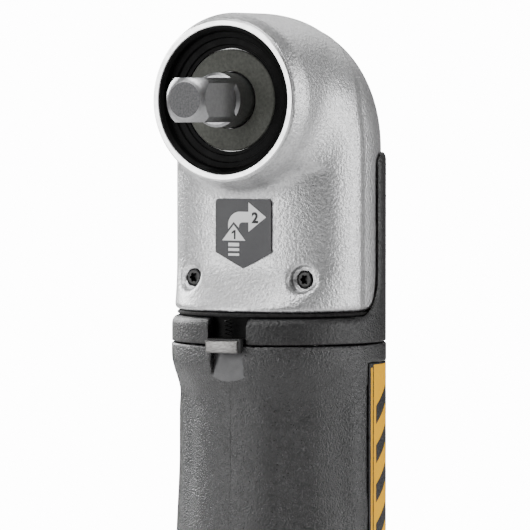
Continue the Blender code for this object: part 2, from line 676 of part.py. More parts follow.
def pawls():
    """Two pawls in the spindle's hub, each about its own pin."""
    reach = PAWL_TIP - PAWL_PIVOT
    head = 1.25 * MM
    arc = [(polar(head, a)[0], polar(head, a)[1]) for a in range(75, 300, 25)]
    outline = arc + [(4.9 * MM, 0.55 * MM), (reach.x, reach.y)]
    for name, turn in (("pawl_one", 0.0), ("pawl_two", math.pi)):
        side = math.cos(turn)
        flat_piece(name, [outline, circle(PAWL_PIN + GAP, 12)], 9.0 * MM, 12.8 * MM,
                   material=GEAR_STEEL, parent=DRIVE,
                   at=(PAWL_PIVOT.x * side, PAWL_PIVOT.y * side, 0.0), turn=(0.0, 0.0, turn))


def dog_jaws(name, middle, low, high, **place):
    """Two jaws of the dog coupling, as tools."""
    outer = DOG_RADIUS - GAP
    return [flat_piece(f"{name}_jaw_{i}", [sector(DOG_BORE, outer, middle + 180 * i,
                                                  DOG_HALF_ANGLE)], low, high, **place)
            for i in range(2)]


def bevel_pinion():
    """The driving bevel gear with its shaft and the driven half of the dog coupling."""
    pinion = put(mesh_object("bevel_pinion", bevel_gear_mesh(PINION_TEETH, CROWN_TEETH,
                                                             math.pi / 2)),
                 material=GEAR_STEEL, parent=HEAD, turn=(math.pi, 0.0, 0.0))
    shaft = turned("pinion_shaft_tool", [
        (0.0, -CROWN_PITCH - 0.2 * MM), (5.0 * MM, -CROWN_PITCH - 0.2 * MM),
        (5.0 * MM, -PINION_SEAT), (PINION_SHAFT, -PINION_SEAT), (PINION_SHAFT, DRIVEN_DOG_TOP),
        (DOG_RADIUS, DRIVEN_DOG_TOP), (DOG_RADIUS, DRIVEN_DOG_TOP - DRIVEN_DOG_DISC),
        (0.0, DRIVEN_DOG_TOP - DRIVEN_DOG_DISC)], parent=HEAD)
    disc_bottom = DRIVEN_DOG_TOP - DRIVEN_DOG_DISC
    join(pinion, shaft, *dog_jaws("driven", 90.0, disc_bottom - DOG_DEPTH,
                                  disc_bottom + 1 * MM, parent=HEAD))
    tube("pinion_bearing", NECK_BORE - GAP, PINION_SHAFT + GAP,
         -PINION_SEAT - PINION_BEARING_LENGTH - GAP, -PINION_SEAT - GAP,
         material=BEARING_STEEL, parent=HEAD)


def symbol_plate():
    """The shield-shaped plate on the flat front of the neck."""
    half, top, shoulder, point = 6.95 * MM, -21.5 * MM, -33.2 * MM, -36.7 * MM
    corner = 1.0 * MM
    right = [(half - corner, top), (half, top - corner), (half, shoulder)]
    left = [(-x, y) for x, y in reversed(right)]
    flat_piece("symbol_plate", [right + [(0.0, point)] + left], FRONT_FLAT + 0.1 * MM,
               FRONT_FLAT + 0.4 * MM, material=DECAL_GREY, parent=DRIVE)


def bayonet_ring():
    """The head's half of the quick-change joint: spigot, flange, skirt and inward lugs."""
    flange_top = -HEAD_HEIGHT - GAP
    skirt_bottom = SEAM + GAP
    ring = turned("bayonet_ring", [
        (SPIGOT_RADIUS, -HEAD_HEIGHT + SPIGOT_LENGTH), (SPIGOT_RADIUS, flange_top),
        (SKIRT_RADIUS, flange_top), (SKIRT_RADIUS, skirt_bottom), (SKIRT_BORE, skirt_bottom),
        (SKIRT_BORE, flange_top - 1.6 * MM), (11.6 * MM, flange_top - 1.6 * MM),
        (11.6 * MM, -HEAD_HEIGHT + SPIGOT_LENGTH)], ring=True, material=ZINC, parent=HEAD)
    for i in range(LUG_COUNT):
        lug = flat_piece(f"inward_lug_{i}", [sector(HUB_RADIUS + GAP, SKIRT_BORE + 0.8 * MM,
                                                    90.0 * i, LUG_WIDTH / 2)],
                         skirt_bottom, skirt_bottom + LUG_HEIGHT - 0.2 * MM, parent=HEAD)
        join(ring, lug)
    for side, name in ((-1, "left"), (1, "right")):
        hole = rod(f"ring_screw_hole_{name}", HEAD_SCREW_SHANK + GAP, HEAD_SCREW_END - GAP,
                   HEAD_SCREW_FACE, parent=HEAD, at=(side * HEAD_SCREW_X, 0.0, HEAD_SCREW_Z),
                   turn=DRIVE_AXIS_TURN)
        cut(ring, hole)


def collar_pieces():
    """The gasket, and the black collar with its rear shell and latch window."""
    tube("head_gasket", NECK_RADIUS + 0.1 * MM, COLLAR_BORE, COLLAR_TOP + 0.15 * MM,
         -HEAD_HEIGHT - 0.15 * MM, material=GASKET_RUBBER, parent=HEAD)
    bottom = SEAM + 0.15 * MM
    collar = turned("collar_boot", [
        (COLLAR_RADIUS - 0.8 * MM, COLLAR_TOP), (COLLAR_RADIUS, COLLAR_TOP - 0.8 * MM),
        (COLLAR_RADIUS, bottom), (COLLAR_BORE, bottom), (COLLAR_BORE, COLLAR_TOP)],
        ring=True, material=BLACK_PLASTIC, parent=HEAD)
    inner = NECK_RADIUS + SHELL_FIT
    shell = tube("rear_shell_tool", inner + SHELL_THICKNESS, inner, COLLAR_TOP - 1.0 * MM,
                 -SHELL_TOP, parent=HEAD)
    front = inner * math.cos(math.radians(SHELL_HALF_ANGLE))
    rear = block("rear_half_tool", (-40 * MM, front, -80 * MM), (40 * MM, 40 * MM, 20 * MM),
                 parent=HEAD)
    keep(shell, rear)
    half_window = LATCH_WIDTH / 2 + WINDOW_CLEARANCE
    window = block("latch_window_tool", (-half_window, -40 * MM, SEAM - 1 * MM),
                   (half_window, 0.0, COLLAR_TOP + 1 * MM), parent=HEAD)
    join(collar, shell)
    cut(collar, window)


def latch_pieces():
    """The sliding latch bar at the seam, and its spring in the window."""
    half = LATCH_WIDTH / 2
    top = SEAM + 0.6 * MM
    latch = block("latch_slide", (-half, -LATCH_BAR_REACH - 1.2 * MM, top - LATCH_BAR_HEIGHT),
                  (half, -LATCH_BAR_REACH, top), rounding=0.25 * MM, material=ZINC, parent=HEAD)
    plate = block("latch_plate_tool", (-half, -LATCH_BAR_REACH - 0.6 * MM, SEAM + 0.2 * MM),
                  (half, -SKIRT_RADIUS - 0.4 * MM, SEAM + 1.8 * MM), parent=HEAD)
    join(latch, plate)
    coil("latch_spring", 0.8 * MM, 0.3 * MM, SEAM + 2.1 * MM, COLLAR_TOP - 0.3 * MM, 4,
         material=SPRING_STEEL, parent=HEAD, at=(0.0, -SKIRT_RADIUS - 1.6 * MM, 0.0))


# ---------------------------------------------------------------- handle
def smooth_step(low, high, value):
    share = min(1.0, max(0.0, (value - low) / (high - low)))
    return share * share * (3.0 - 2.0 * share)


def grip_radius(front_angle, depth):
    """The grip's outer radius, by angle from the front in degrees and depth below the seam."""
    frontness = 1.0 - smooth_step(35.0, 85.0, abs(front_angle))
    waist = smooth_step(2.0, 16.0, depth) * 2.1 * MM
    recover = smooth_step(22.0, 42.0, depth) * 1.2 * MM
    tail = smooth_step(GRIP_LENGTH / MM - 25.0, GRIP_LENGTH / MM, depth) * 1.4 * MM
    return GRIP_RADIUS - frontness * (waist - recover) - tail


def grip_body(name):
    """The whole outer form of the grip, lofted from sections that are not alike."""
    count = SEGMENTS
    depths = [0.0, 2.0, 5.0, 9.0, 13.0, 17.0, 22.0, 28.0, 35.0, 42.0]
    tail = GRIP_LENGTH / MM
    depths += [tail - 25.0, tail - 16.0, tail - 8.0, tail]

    def build(work):
        rings = []
        for depth in depths:
            ring = []
            for i in range(count):
                front_angle = 360.0 * i / count
                signed = front_angle if front_angle <= 180.0 else front_angle - 360.0
                x, y = polar(grip_radius(signed, depth), front_angle - 90.0)
                ring.append(work.verts.new((x, y, SEAM - GAP / 2 - depth * MM)))
            rings.append(ring)
        for upper, lower in zip(rings, rings[1:]):
            for i in range(count):
                j = (i + 1) % count
                work.faces.new((upper[i], upper[j], lower[j], lower[i]))
        work.faces.new(rings[0])
        work.faces.new(list(reversed(rings[-1])))

    return mesh_object(name, build)


def label_panel_outline(side, grow):
    """The curved side label's section, seen from above."""
    middle = -90.0 + side * LABEL_MIDDLE
    return sector(GRIP_RADIUS - LABEL_DEPTH - GAP / 2 - grow, GRIP_RADIUS + 1.0 * MM * (grow > 0),
                  middle, LABEL_HALF_ANGLE + (0.7 if grow else 0.0), steps=6)


def grip_shells():
    """The left and right clamshell halves of the grip."""
    cavity = turned("grip_cavity_tool", [
        (0.0, SEAM + 1 * MM), (HUB_RADIUS + GAP, SEAM + 1 * MM),
        (HUB_RADIUS + GAP, HUB_FLANGE + GAP), (GRIP_CAVITY, HUB_FLANGE + GAP),
        (GRIP_CAVITY, GRIP_BOTTOM + END_WALL), (INLET_NECK + GAP, GRIP_BOTTOM + END_WALL),
        (INLET_NECK + GAP, GRIP_BOTTOM - 2 * MM), (0.0, GRIP_BOTTOM - 2 * MM)], parent=ROOT)
    ramp = block("thumb_ramp_tool", (-4.4 * MM, -2.5 * MM, -7.6 * MM), (4.4 * MM, 2.5 * MM, 2 * MM),
                 parent=ROOT, at=(0.0, -GRIP_RADIUS - 0.9 * MM, SEAM),
                 turn=(math.radians(-9.0), 0.0, 0.0))
    stem_hole = rod("stem_hole_tool", STEM_RADIUS + GAP, GRIP_CAVITY - 1 * MM, 30 * MM,
                    parent=ROOT, at=(0.0, 0.0, STEM_LEVEL), turn=DRIVE_AXIS_TURN)
    knob_hole = rod("knob_hole_tool", KNOB_STEM + GAP, -30 * MM, -GRIP_CAVITY + 1 * MM,
                    parent=ROOT, at=(0.0, 0.0, KNOB_LEVEL), turn=DRIVE_AXIS_TURN)
    for side, name in ((-1, "grip_shell_left"), (1, "grip_shell_right")):
        shell = put(grip_body(name), material=GRIP_PLASTIC, parent=ROOT)
        lug = block(name + "_lug_tool", (side * 4.0 * MM, -PIN_REACH - 3.2 * MM, PIN_LEVEL - 5 * MM),
                    (side * 8.0 * MM, -GRIP_CAVITY - 0.3 * MM, PIN_LEVEL + 5 * MM), parent=ROOT)
        half = block(name + "_half_tool", (side * GRIP_SPLIT, -50 * MM, GRIP_BOTTOM - 10 * MM),
                     (side * 50 * MM, 50 * MM, SEAM + 10 * MM), parent=ROOT)
        pin_hole = rod(name + "_pin_hole_tool", LEVER_PIN + GAP, -20 * MM, 20 * MM, parent=ROOT,
                       at=(0.0, -PIN_REACH, PIN_LEVEL), turn=(0.0, math.pi / 2, 0.0))
        label = flat_piece(name + "_label_tool", [label_panel_outline(side, 0.15 * MM)],
                           LABEL_TOP - LABEL_LENGTH - GAP, LABEL_TOP + GAP, parent=ROOT)
        join(shell, lug)
        keep(shell, half)
        cut(shell, cavity, pin_hole, label, ramp, stem_hole, knob_hole)
        for hole in shell_screw_tools(side, name):
            cut(shell, hole)
        flat_piece("side_label_" + name.rsplit("_", 1)[1], [label_panel_outline(side, 0.0)],
                   LABEL_TOP - LABEL_LENGTH, LABEL_TOP, material=LABEL_YELLOW, parent=ROOT)


def shell_screw_tools(side, name):
    """The counterbores in the right shell, and the blind holes in the left one."""
    made = []
    for i, (z, y) in enumerate(SHELL_SCREW_PLACES):
        where = {"parent": ROOT, "at": (0.0, y, z), "turn": (0.0, math.pi / 2, 0.0)}
        if side > 0:
            made.append(rod(f"{name}_mouth_{i}", SHELL_SCREW_HEAD + GAP,
                            SHELL_SCREW_FACE - SCREW_HEAD_LENGTH - GAP, 30 * MM, **where))
        made.append(rod(f"{name}_hole_{i}", SHELL_SCREW_SHANK + GAP, -SHELL_SCREW_FACE - GAP,
                        SHELL_SCREW_FACE, **where))
    return made


def shell_screws():
    """Four long screws that clamp the grip shells together."""
    for i, (z, y) in enumerate(SHELL_SCREW_PLACES):
        where = {"parent": ROOT, "at": (0.0, y, z), "turn": (0.0, math.pi / 2, 0.0)}
        screw = turned(f"shell_screw_{i + 1}", [
            (0.0, SHELL_SCREW_FACE), (SHELL_SCREW_HEAD, SHELL_SCREW_FACE),
            (SHELL_SCREW_HEAD, SHELL_SCREW_FACE - SCREW_HEAD_LENGTH),
            (SHELL_SCREW_SHANK, SHELL_SCREW_FACE - SCREW_HEAD_LENGTH),
            (SHELL_SCREW_SHANK, -SHELL_SCREW_FACE), (0.0, -SHELL_SCREW_FACE)],
            segments=SMALL_SEGMENTS, material=ZINC, **where)
        socket = rod(f"shell_screw_socket_{i + 1}", 1.5 * MM, SHELL_SCREW_FACE - 1.2 * MM,
                     SHELL_SCREW_FACE + 1 * MM, segments=6, **where)
        cut(screw, socket)


def handle_hub():
    """The handle's half of the quick-change joint, and the gear case under it."""
    bottom = CARRIER_TOP + 0.9 * MM
    hub = turned("handle_hub", [
        (HUB_RADIUS, HUB_TOP), (HUB_RADIUS, HUB_FLANGE), (GRIP_CAVITY - GAP, HUB_FLANGE),
        (GRIP_CAVITY - GAP, HUB_FLANGE - HUB_FLANGE_THICKNESS),
        (HUB_RADIUS, HUB_FLANGE - HUB_FLANGE_THICKNESS), (HUB_RADIUS, bottom),
        (HUB_BORE, bottom), (HUB_BORE, HUB_TOP)], ring=True, material=ZINC, parent=ROOT)
    low = SEAM + 2.0 * GAP + LUG_HEIGHT
    for i in range(LUG_COUNT):
        lug = flat_piece(f"outward_lug_{i}", [sector(HUB_RADIUS - 0.8 * MM, SKIRT_BORE - GAP,
                                                     90.0 * i, LUG_WIDTH / 2)],
                         low, low + LUG_HEIGHT + 0.2 * MM, parent=ROOT)
        join(hub, lug)
    tube("gear_case", CASE_RADIUS, CASE_BORE, CASE_BOTTOM,
         HUB_FLANGE - HUB_FLANGE_THICKNESS - GAP, material=ALUMINIUM, parent=ROOT)
    tube("carrier_bearing", HUB_BORE - GAP, CARRIER_SHAFT + GAP, bottom + 1.0 * MM,
         DRIVER_DOG_TOP - DRIVER_DOG_DISC - 1.2 * MM, material=BEARING_STEEL, parent=ROOT)


def planet_stage():
    """The ring gear, the carrier with the driver dog, and the planets on their pins."""
    bottom = PLANET_TOP - SPUR_WIDTH
    plate = PLANET_CENTRE + PLANET_PIN + CARRIER_RIM
    flat_piece("ring_gear", [circle(RING_OUTER), gear_outline(RING_TEETH, SPUR_MODULE,
                                                              inside=True)],
               bottom, PLANET_TOP, material=GEAR_STEEL, parent=ROOT)
    carrier = turned("planet_carrier", [
        (0.0, DRIVER_DOG_TOP), (DOG_RADIUS, DRIVER_DOG_TOP),
        (DOG_RADIUS, DRIVER_DOG_TOP - DRIVER_DOG_DISC),
        (CARRIER_SHAFT, DRIVER_DOG_TOP - DRIVER_DOG_DISC), (CARRIER_SHAFT, CARRIER_TOP),
        (plate, CARRIER_TOP), (plate, CARRIER_TOP - CARRIER_THICKNESS),
        (0.0, CARRIER_TOP - CARRIER_THICKNESS)], material=GEAR_STEEL, parent=ROTOR)
    jaw_top = DRIVEN_DOG_TOP - DRIVEN_DOG_DISC - 0.5 * MM
    join(carrier, *dog_jaws("driver", 0.0, DRIVER_DOG_TOP - 1 * MM, jaw_top, parent=ROTOR))
    for i in range(PLANET_COUNT):
        angle = 360.0 / PLANET_COUNT * i
        x, y = polar(PLANET_CENTRE, angle)
        hole = rod(f"planet_pin_hole_{i}", PLANET_PIN + GAP,
                   CARRIER_TOP - CARRIER_THICKNESS - 1 * MM, CARRIER_TOP - 0.8 * MM,
                   parent=ROTOR, at=(x, y, 0.0))
        cut(carrier, hole)
        rod(f"planet_pin_{i + 1}", PLANET_PIN, bottom - 1.0 * MM, CARRIER_TOP - 1.1 * MM,
            segments=16, material=BEARING_STEEL, parent=ROTOR, at=(x, y, 0.0))
        flat_piece(f"planet_gear_{i + 1}", [gear_outline(PLANET_TEETH, SPUR_MODULE,
                                                         math.radians(angle)),
                                            circle(PLANET_PIN + GAP, 16)],
                   bottom + 0.4 * MM, PLANET_TOP, material=GEAR_STEEL, parent=ROTOR,
                   at=(x, y, 0.0))


def air_motor():
    """Rotor with the sun gear, blades, cylinder, end plates and bearings."""
    body_top = MOTOR_TOP - 0.4 * MM
    body_bottom = MOTOR_BOTTOM + 0.4 * MM
    sun_bottom = PLANET_TOP - SPUR_WIDTH
    rotor = turned("rotor", [
        (0.0, sun_bottom + 0.5 * MM), (ROTOR_SHAFT, sun_bottom + 0.5 * MM),
        (ROTOR_SHAFT, body_top), (ROTOR_RADIUS, body_top), (ROTOR_RADIUS, body_bottom),
        (ROTOR_SHAFT, body_bottom), (ROTOR_SHAFT, MOTOR_BOTTOM - PLATE_THICKNESS + 0.3 * MM),
        (0.0, MOTOR_BOTTOM - PLATE_THICKNESS + 0.3 * MM)], material=GEAR_STEEL, parent=ROTOR)
    sun = flat_piece("sun_tool", [gear_outline(SUN_TEETH, SPUR_MODULE, math.pi / SUN_TEETH)],
                     sun_bottom, PLANET_TOP, parent=ROTOR)
    join(rotor, sun)
    inner = ROTOR_RADIUS - 0.2 * MM - BLADE_DEPTH
    half = BLADE_THICKNESS / 2
    for i in range(BLADE_COUNT):
        turn = (0.0, 0.0, math.tau * i / BLADE_COUNT)
        slot = block(f"blade_slot_{i}", (inner - GAP, -half - GAP, body_bottom - 1 * MM),
                     (ROTOR_RADIUS + 2 * MM, half + GAP, body_top + 1 * MM), parent=ROTOR,
                     turn=turn)
        cut(rotor, slot)
        block(f"rotor_blade_{i + 1}", (inner, -half, body_bottom + 0.3 * MM),
              (inner + BLADE_DEPTH, half, body_top - 0.3 * MM), material=BLADE_RESIN,
              parent=ROTOR, turn=turn)
    cylinder = rod("motor_cylinder", MOTOR_RADIUS, MOTOR_BOTTOM, MOTOR_TOP, segments=SEGMENTS,
                   material=GEAR_STEEL, parent=ROOT)
    chamber = rod("chamber_tool", ROTOR_RADIUS + ROTOR_OFFSET + 0.2 * MM, MOTOR_BOTTOM - 1 * MM,
                  MOTOR_TOP + 1 * MM, segments=SEGMENTS, parent=ROOT, at=(0.0, ROTOR_OFFSET, 0.0))
    port = block("exhaust_port_tool", (-3 * MM, 0.0, MOTOR_BOTTOM + 12 * MM),
                 (3 * MM, 30 * MM, MOTOR_TOP - 12 * MM), parent=ROOT)
    cut(cylinder, chamber, port)
    end_plate("front", MOTOR_TOP + GAP, 1.2 * MM, (0.9 * MM, 7.2 * MM))
    end_plate("rear", MOTOR_BOTTOM - GAP - PLATE_THICKNESS, 0.0, (-1.0 * MM, 4.1 * MM))


def end_plate(name, low, bearing_rise, seat):
    """One bronze end plate of the motor, with the rotor bearing in its seat."""
    plate = tube(f"{name}_end_plate", MOTOR_RADIUS, ROTOR_SHAFT + GAP, low,
                 low + PLATE_THICKNESS, material=BRONZE, parent=ROOT)
    cut(plate, rod(f"{name}_bearing_seat", ROTOR_BEARING + GAP, low + seat[0], low + seat[1],
                   segments=SEGMENTS, parent=ROOT))
    tube(f"{name}_rotor_bearing", ROTOR_BEARING, ROTOR_SHAFT + GAP, low + bearing_rise,
         low + bearing_rise + ROTOR_BEARING_WIDTH, material=BEARING_STEEL, parent=ROOT)


def valve_block():
    """The block that holds the throttle valve and the reversing valve."""
    body = rod("valve_block", BLOCK_RADIUS, BLOCK_BOTTOM, BLOCK_TOP, segments=SEGMENTS,
               material=ALUMINIUM, parent=ROOT)
    passage = rod("air_passage_tool", AIR_PASSAGE, BLOCK_BOTTOM - 1 * MM, BLOCK_TOP + 1 * MM,
                  parent=ROOT)
    valve_bore = rod("valve_bore_tool", VALVE_PISTON + GAP, -6.0 * MM, 30 * MM, parent=ROOT,
                     at=(0.0, 0.0, STEM_LEVEL), turn=DRIVE_AXIS_TURN)
    knob_bore = rod("knob_bore_tool", KNOB_STEM + GAP, -30 * MM, -9.0 * MM, parent=ROOT,
                    at=(0.0, 0.0, KNOB_LEVEL), turn=DRIVE_AXIS_TURN)
    cut(body, passage, valve_bore, knob_bore)


def throttle():
    """Lever on its pin, valve stem with its piston, and the return spring."""
    lever = block("throttle_lever", (-LEVER_WIDTH / 2, -1.2 * MM, 7.0 * MM),
                  (LEVER_WIDTH / 2, 1.3 * MM, 7.0 * MM + LEVER_LENGTH), rounding=0.8 * MM,
                  material=BLACK_PLASTIC, parent=LEVER)
    neck = block("lever_neck_tool", (-3.7 * MM, -1.2 * MM, 0.0), (3.7 * MM, 1.3 * MM, 9 * MM),
                 parent=LEVER)
    knuckle = rod("lever_knuckle_tool", 3.2 * MM, -3.7 * MM, 3.7 * MM, parent=LEVER,
                  turn=(0.0, math.pi / 2, 0.0))
    hole = rod("lever_pin_hole_tool", LEVER_PIN + GAP, -8 * MM, 8 * MM, parent=LEVER,
               turn=(0.0, math.pi / 2, 0.0))
    join(lever, neck, knuckle)
    cut(lever, hole)
    rod("lever_pin", LEVER_PIN, -8.4 * MM, 8.4 * MM, material=ZINC, parent=ROOT,
        at=(0.0, -PIN_REACH, PIN_LEVEL), turn=(0.0, math.pi / 2, 0.0))
    lean = math.radians(LEVER_LEAN)
    lever_face = PIN_REACH + STEM_ARM * math.tan(lean) - 1.3 * MM / math.cos(lean)
    turned("throttle_valve", [
        (0.0, lever_face - 0.4 * MM), (STEM_RADIUS - 0.5 * MM, lever_face - 0.4 * MM),
        (STEM_RADIUS, lever_face - 0.9 * MM), (STEM_RADIUS, PISTON_BACK + PISTON_LENGTH),
        (VALVE_PISTON, PISTON_BACK + PISTON_LENGTH), (VALVE_PISTON, PISTON_BACK),
        (0.0, PISTON_BACK)], segments=SMALL_SEGMENTS, material=ZINC, parent=ROOT,
        at=(0.0, 0.0, STEM_LEVEL), turn=DRIVE_AXIS_TURN)
    coil("valve_spring", 2.2 * MM, 0.6 * MM, -5.4 * MM, PISTON_BACK - 0.5 * MM, 5,
         material=SPRING_STEEL, parent=ROOT, at=(0.0, 0.0, STEM_LEVEL), turn=DRIVE_AXIS_TURN)


def reverse_knob():
    """The reversing knob on the back of the grip."""
    base = -GRIP_RADIUS - 0.4 * MM
    knob = turned("reverse_knob", [
        (0.0, -9.5 * MM), (KNOB_STEM, -9.5 * MM), (KNOB_STEM, base), (KNOB_RADIUS, base),
        (KNOB_RADIUS, base - KNOB_THICKNESS + 0.6 * MM),
        (KNOB_RADIUS - 0.6 * MM, base - KNOB_THICKNESS), (0.0, base - KNOB_THICKNESS)],
        material=BLACK_PLASTIC, parent=ROOT, at=(0.0, 0.0, KNOB_LEVEL), turn=DRIVE_AXIS_TURN)
    wing = block("knob_wing_tool", (-1.5 * MM, -6.2 * MM, base - 5.0 * MM),
                 (1.5 * MM, 6.2 * MM, base - 1.0 * MM), rounding=0.6 * MM, parent=ROOT,
                 at=(0.0, 0.0, KNOB_LEVEL), turn=DRIVE_AXIS_TURN)
    join(knob, wing)


def inlet_pieces():
    """The threaded air inlet with its hexagon, its strainer and the exhaust deflector."""
    hex_top = GRIP_BOTTOM - 3 * GAP - DEFLECTOR_HEIGHT
    hex_bottom = hex_top - INLET_LENGTH
    inlet = turned("air_inlet", [
        (0.0, INLET_FLANGE_TOP), (INLET_FLANGE, INLET_FLANGE_TOP),
        (INLET_FLANGE, GRIP_BOTTOM + END_WALL + GAP), (INLET_NECK, GRIP_BOTTOM + END_WALL + GAP),
        (INLET_NECK, hex_top - 1 * MM), (0.0, hex_top - 1 * MM)], material=ZINC, parent=ROOT)
    nut = rod("inlet_hex_tool", INLET_HEX / math.sqrt(3), hex_bottom, hex_top, segments=6,
              parent=ROOT)
    bore = turned("inlet_bore_tool", [
        (0.0, INLET_FLANGE_TOP + 1 * MM), (AIR_PASSAGE, INLET_FLANGE_TOP + 1 * MM),
        (AIR_PASSAGE, hex_top + 4 * MM), (INLET_BORE, hex_top + 4 * MM),
        (INLET_BORE, hex_bottom - 1 * MM), (0.0, hex_bottom - 1 * MM)], parent=ROOT)
    join(inlet, nut)
    cut(inlet, bore)
    screen_low = hex_top + 2.8 * MM
    screen = rod("inlet_screen", INLET_BORE - GAP, screen_low, screen_low + 0.8 * MM,
                 material=ZINC, parent=ROOT)
    for i in range(6):
        x, y = polar(3.4 * MM, 60.0 * i)
        cut(screen, rod(f"screen_hole_{i}", 0.9 * MM, screen_low - 1 * MM, screen_low + 2 * MM,
                        segments=8, parent=ROOT, at=(x, y, 0.0)))
    top = GRIP_BOTTOM - GAP
    low = top - DEFLECTOR_HEIGHT
    deflector = turned("exhaust_deflector", [
        (DEFLECTOR_RADIUS, top), (DEFLECTOR_RADIUS, low + 1.5 * MM),
        (DEFLECTOR_RADIUS - 1.5 * MM, low), (INLET_NECK + GAP, low),
        (INLET_NECK + GAP, low + 2.0 * MM), (DEFLECTOR_BORE, low + 2.0 * MM),
        (DEFLECTOR_BORE, top)], ring=True, material=BLACK_PLASTIC, parent=ROOT)
    for i in range(DEFLECTOR_SLOTS):
        turn = math.radians(14.0 * (i - (DEFLECTOR_SLOTS - 1) / 2))
        cut(deflector, block(f"deflector_slot_{i}", (-1.2 * MM, 0.0, low + 3.4 * MM),
                             (1.2 * MM, 30 * MM, top - 1.6 * MM), parent=ROOT,
                             turn=(0.0, 0.0, turn)))


def build_tool():
    head_housing()
    head_screws()
    nose_pieces()
    crown_gear()
    anvil_spindle()
    detent()
    pawls()
    bevel_pinion()
    symbol_plate()
    bayonet_ring()
    collar_pieces()
    latch_pieces()
    grip_shells()
    shell_screws()
    handle_hub()
    planet_stage()
    air_motor()
    valve_block()
    throttle()
    reverse_knob()
    inlet_pieces()


build_tool()
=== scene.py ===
"""Fine surfaces, materials, light and camera for the air ratchet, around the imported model.

Shapes are worked out in tool millimetres: x and y from the handle axis, z from the drive axis.
"""
import json
import math

import bmesh
import bpy
import numpy as np
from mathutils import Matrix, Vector


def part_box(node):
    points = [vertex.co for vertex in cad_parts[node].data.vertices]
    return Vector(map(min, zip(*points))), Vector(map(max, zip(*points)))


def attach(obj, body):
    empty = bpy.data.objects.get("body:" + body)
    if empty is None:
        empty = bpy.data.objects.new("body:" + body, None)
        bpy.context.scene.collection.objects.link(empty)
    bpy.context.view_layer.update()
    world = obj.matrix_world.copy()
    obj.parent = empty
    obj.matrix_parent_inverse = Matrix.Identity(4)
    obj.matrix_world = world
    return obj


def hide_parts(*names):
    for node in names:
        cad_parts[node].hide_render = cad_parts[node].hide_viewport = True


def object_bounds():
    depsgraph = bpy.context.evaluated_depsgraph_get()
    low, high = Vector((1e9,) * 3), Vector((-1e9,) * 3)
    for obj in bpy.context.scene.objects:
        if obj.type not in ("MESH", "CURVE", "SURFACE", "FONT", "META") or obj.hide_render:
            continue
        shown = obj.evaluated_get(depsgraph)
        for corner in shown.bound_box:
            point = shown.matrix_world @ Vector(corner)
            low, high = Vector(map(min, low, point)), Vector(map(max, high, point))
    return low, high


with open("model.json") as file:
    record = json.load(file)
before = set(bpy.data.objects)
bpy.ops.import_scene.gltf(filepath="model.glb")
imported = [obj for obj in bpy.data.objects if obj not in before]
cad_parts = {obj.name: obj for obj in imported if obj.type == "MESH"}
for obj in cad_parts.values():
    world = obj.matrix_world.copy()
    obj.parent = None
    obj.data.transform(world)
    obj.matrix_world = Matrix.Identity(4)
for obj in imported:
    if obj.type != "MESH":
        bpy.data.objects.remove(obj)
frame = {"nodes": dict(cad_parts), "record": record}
cad_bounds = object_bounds()

MM = 0.001


def box_mm(node):
    """A CAD node's corners, in tool millimetres."""
    low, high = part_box(node)
    shift = Vector((0.0, HANDLE_Y, 0.0))
    return (Vector(low) - shift) / MM, (Vector(high) - shift) / MM


def centre_mm(node):
    """The middle of a CAD node's box, in tool millimetres."""
    low, high = box_mm(node)
    return [(low[i] + high[i]) / 2 for i in range(3)]


# ---------------------------------------------------------------- places read from the frame
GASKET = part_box("head_gasket")
HANDLE_Y = (GASKET[0][1] + GASKET[1][1]) / 2
HOUSING_LOW, HOUSING_HIGH = box_mm("head_housing")
ANVIL_LOW, ANVIL_HIGH = box_mm("anvil_spindle")
CUP_LOW, CUP_HIGH = box_mm("nose_cup")
WASHER_LOW, WASHER_HIGH = box_mm("dust_washer")
COLLAR_LOW, COLLAR_HIGH = box_mm("collar_boot")
GRIP_LOW, GRIP_HIGH = box_mm("grip_shell_right")
LATCH_LOW, LATCH_HIGH = box_mm("latch_slide")
PLATE_LOW, PLATE_HIGH = box_mm("symbol_plate")
LABEL_LOW, LABEL_HIGH = box_mm("side_label_right")
GASKET_LOW, GASKET_HIGH = box_mm("head_gasket")
PIN_FRONT = box_mm("lever_pin")[0].y
PIN_Y, PIN_Z = centre_mm("lever_pin")[1:]
KNOB_Z = centre_mm("reverse_knob")[2]
STEM_Z = centre_mm("throttle_valve")[2]
BALL_REACH = -centre_mm("detent_ball")[1]
SCREW_X, _, SCREW_Z = centre_mm("head_screw_right")
SCREW_FACE = -box_mm("head_screw_right")[0].y
SHELL_SCREWS = [centre_mm(f"shell_screw_{number}")[1:] for number in (1, 2, 3, 4)]
CUP_HIGH_REACH = -CUP_LOW.y
CUP_LOW_REACH = -CUP_HIGH.y

# ---------------------------------------------------------------- sizes of the fine surfaces, mm
NECK_FRONT_R = 21.35
NECK_SIDE_R = 23.1
REAR_STEP = 0.6                  # the back of the casting is set in by this much
DOME_BASE = -11.0
DOME_HEIGHT = 28.2
DOME_FULLNESS = 2.1              # 2 is an ellipsoid
BARREL_R = 18.95
SHOULDER_SLOPE = 0.385
RIM = -HOUSING_LOW.y
RIM_R = 17.4
RIM_BORE = 15.4
LIP_BORE = 16.05
CUP_FLOOR = RIM - 4.2
DRIVE_BORE = 13.4
BUSHING_BORE = 7.0
PINION_BORE = 8.6
PINION_SEAT = 11.3
SPIGOT_BORE = 14.9
FLAT = 15.6                      # handle axis to the flat front of the neck
SCREW_HEAD_R = 1.7
SCREW_MOUTH_R = 2.75
SCREW_SEAT_R = 2.0
SCREW_HEAD_LENGTH = 2.0
SQUARE = 9.525
SQUARE_LENGTH = 13.0
SQUARE_FACE_R = 3.8
SHANK_R = 5.9
CLUTCH_HUB_R = 6.7
WINDOW = LATCH_HIGH.x + 0.42
SHELL_INNER = 22.85
SHELL_OUTER = 23.62
SHELL_EDGE = 98.0                # degrees from the front to the edge of the rear shell
COLLAR_BORE = 21.1
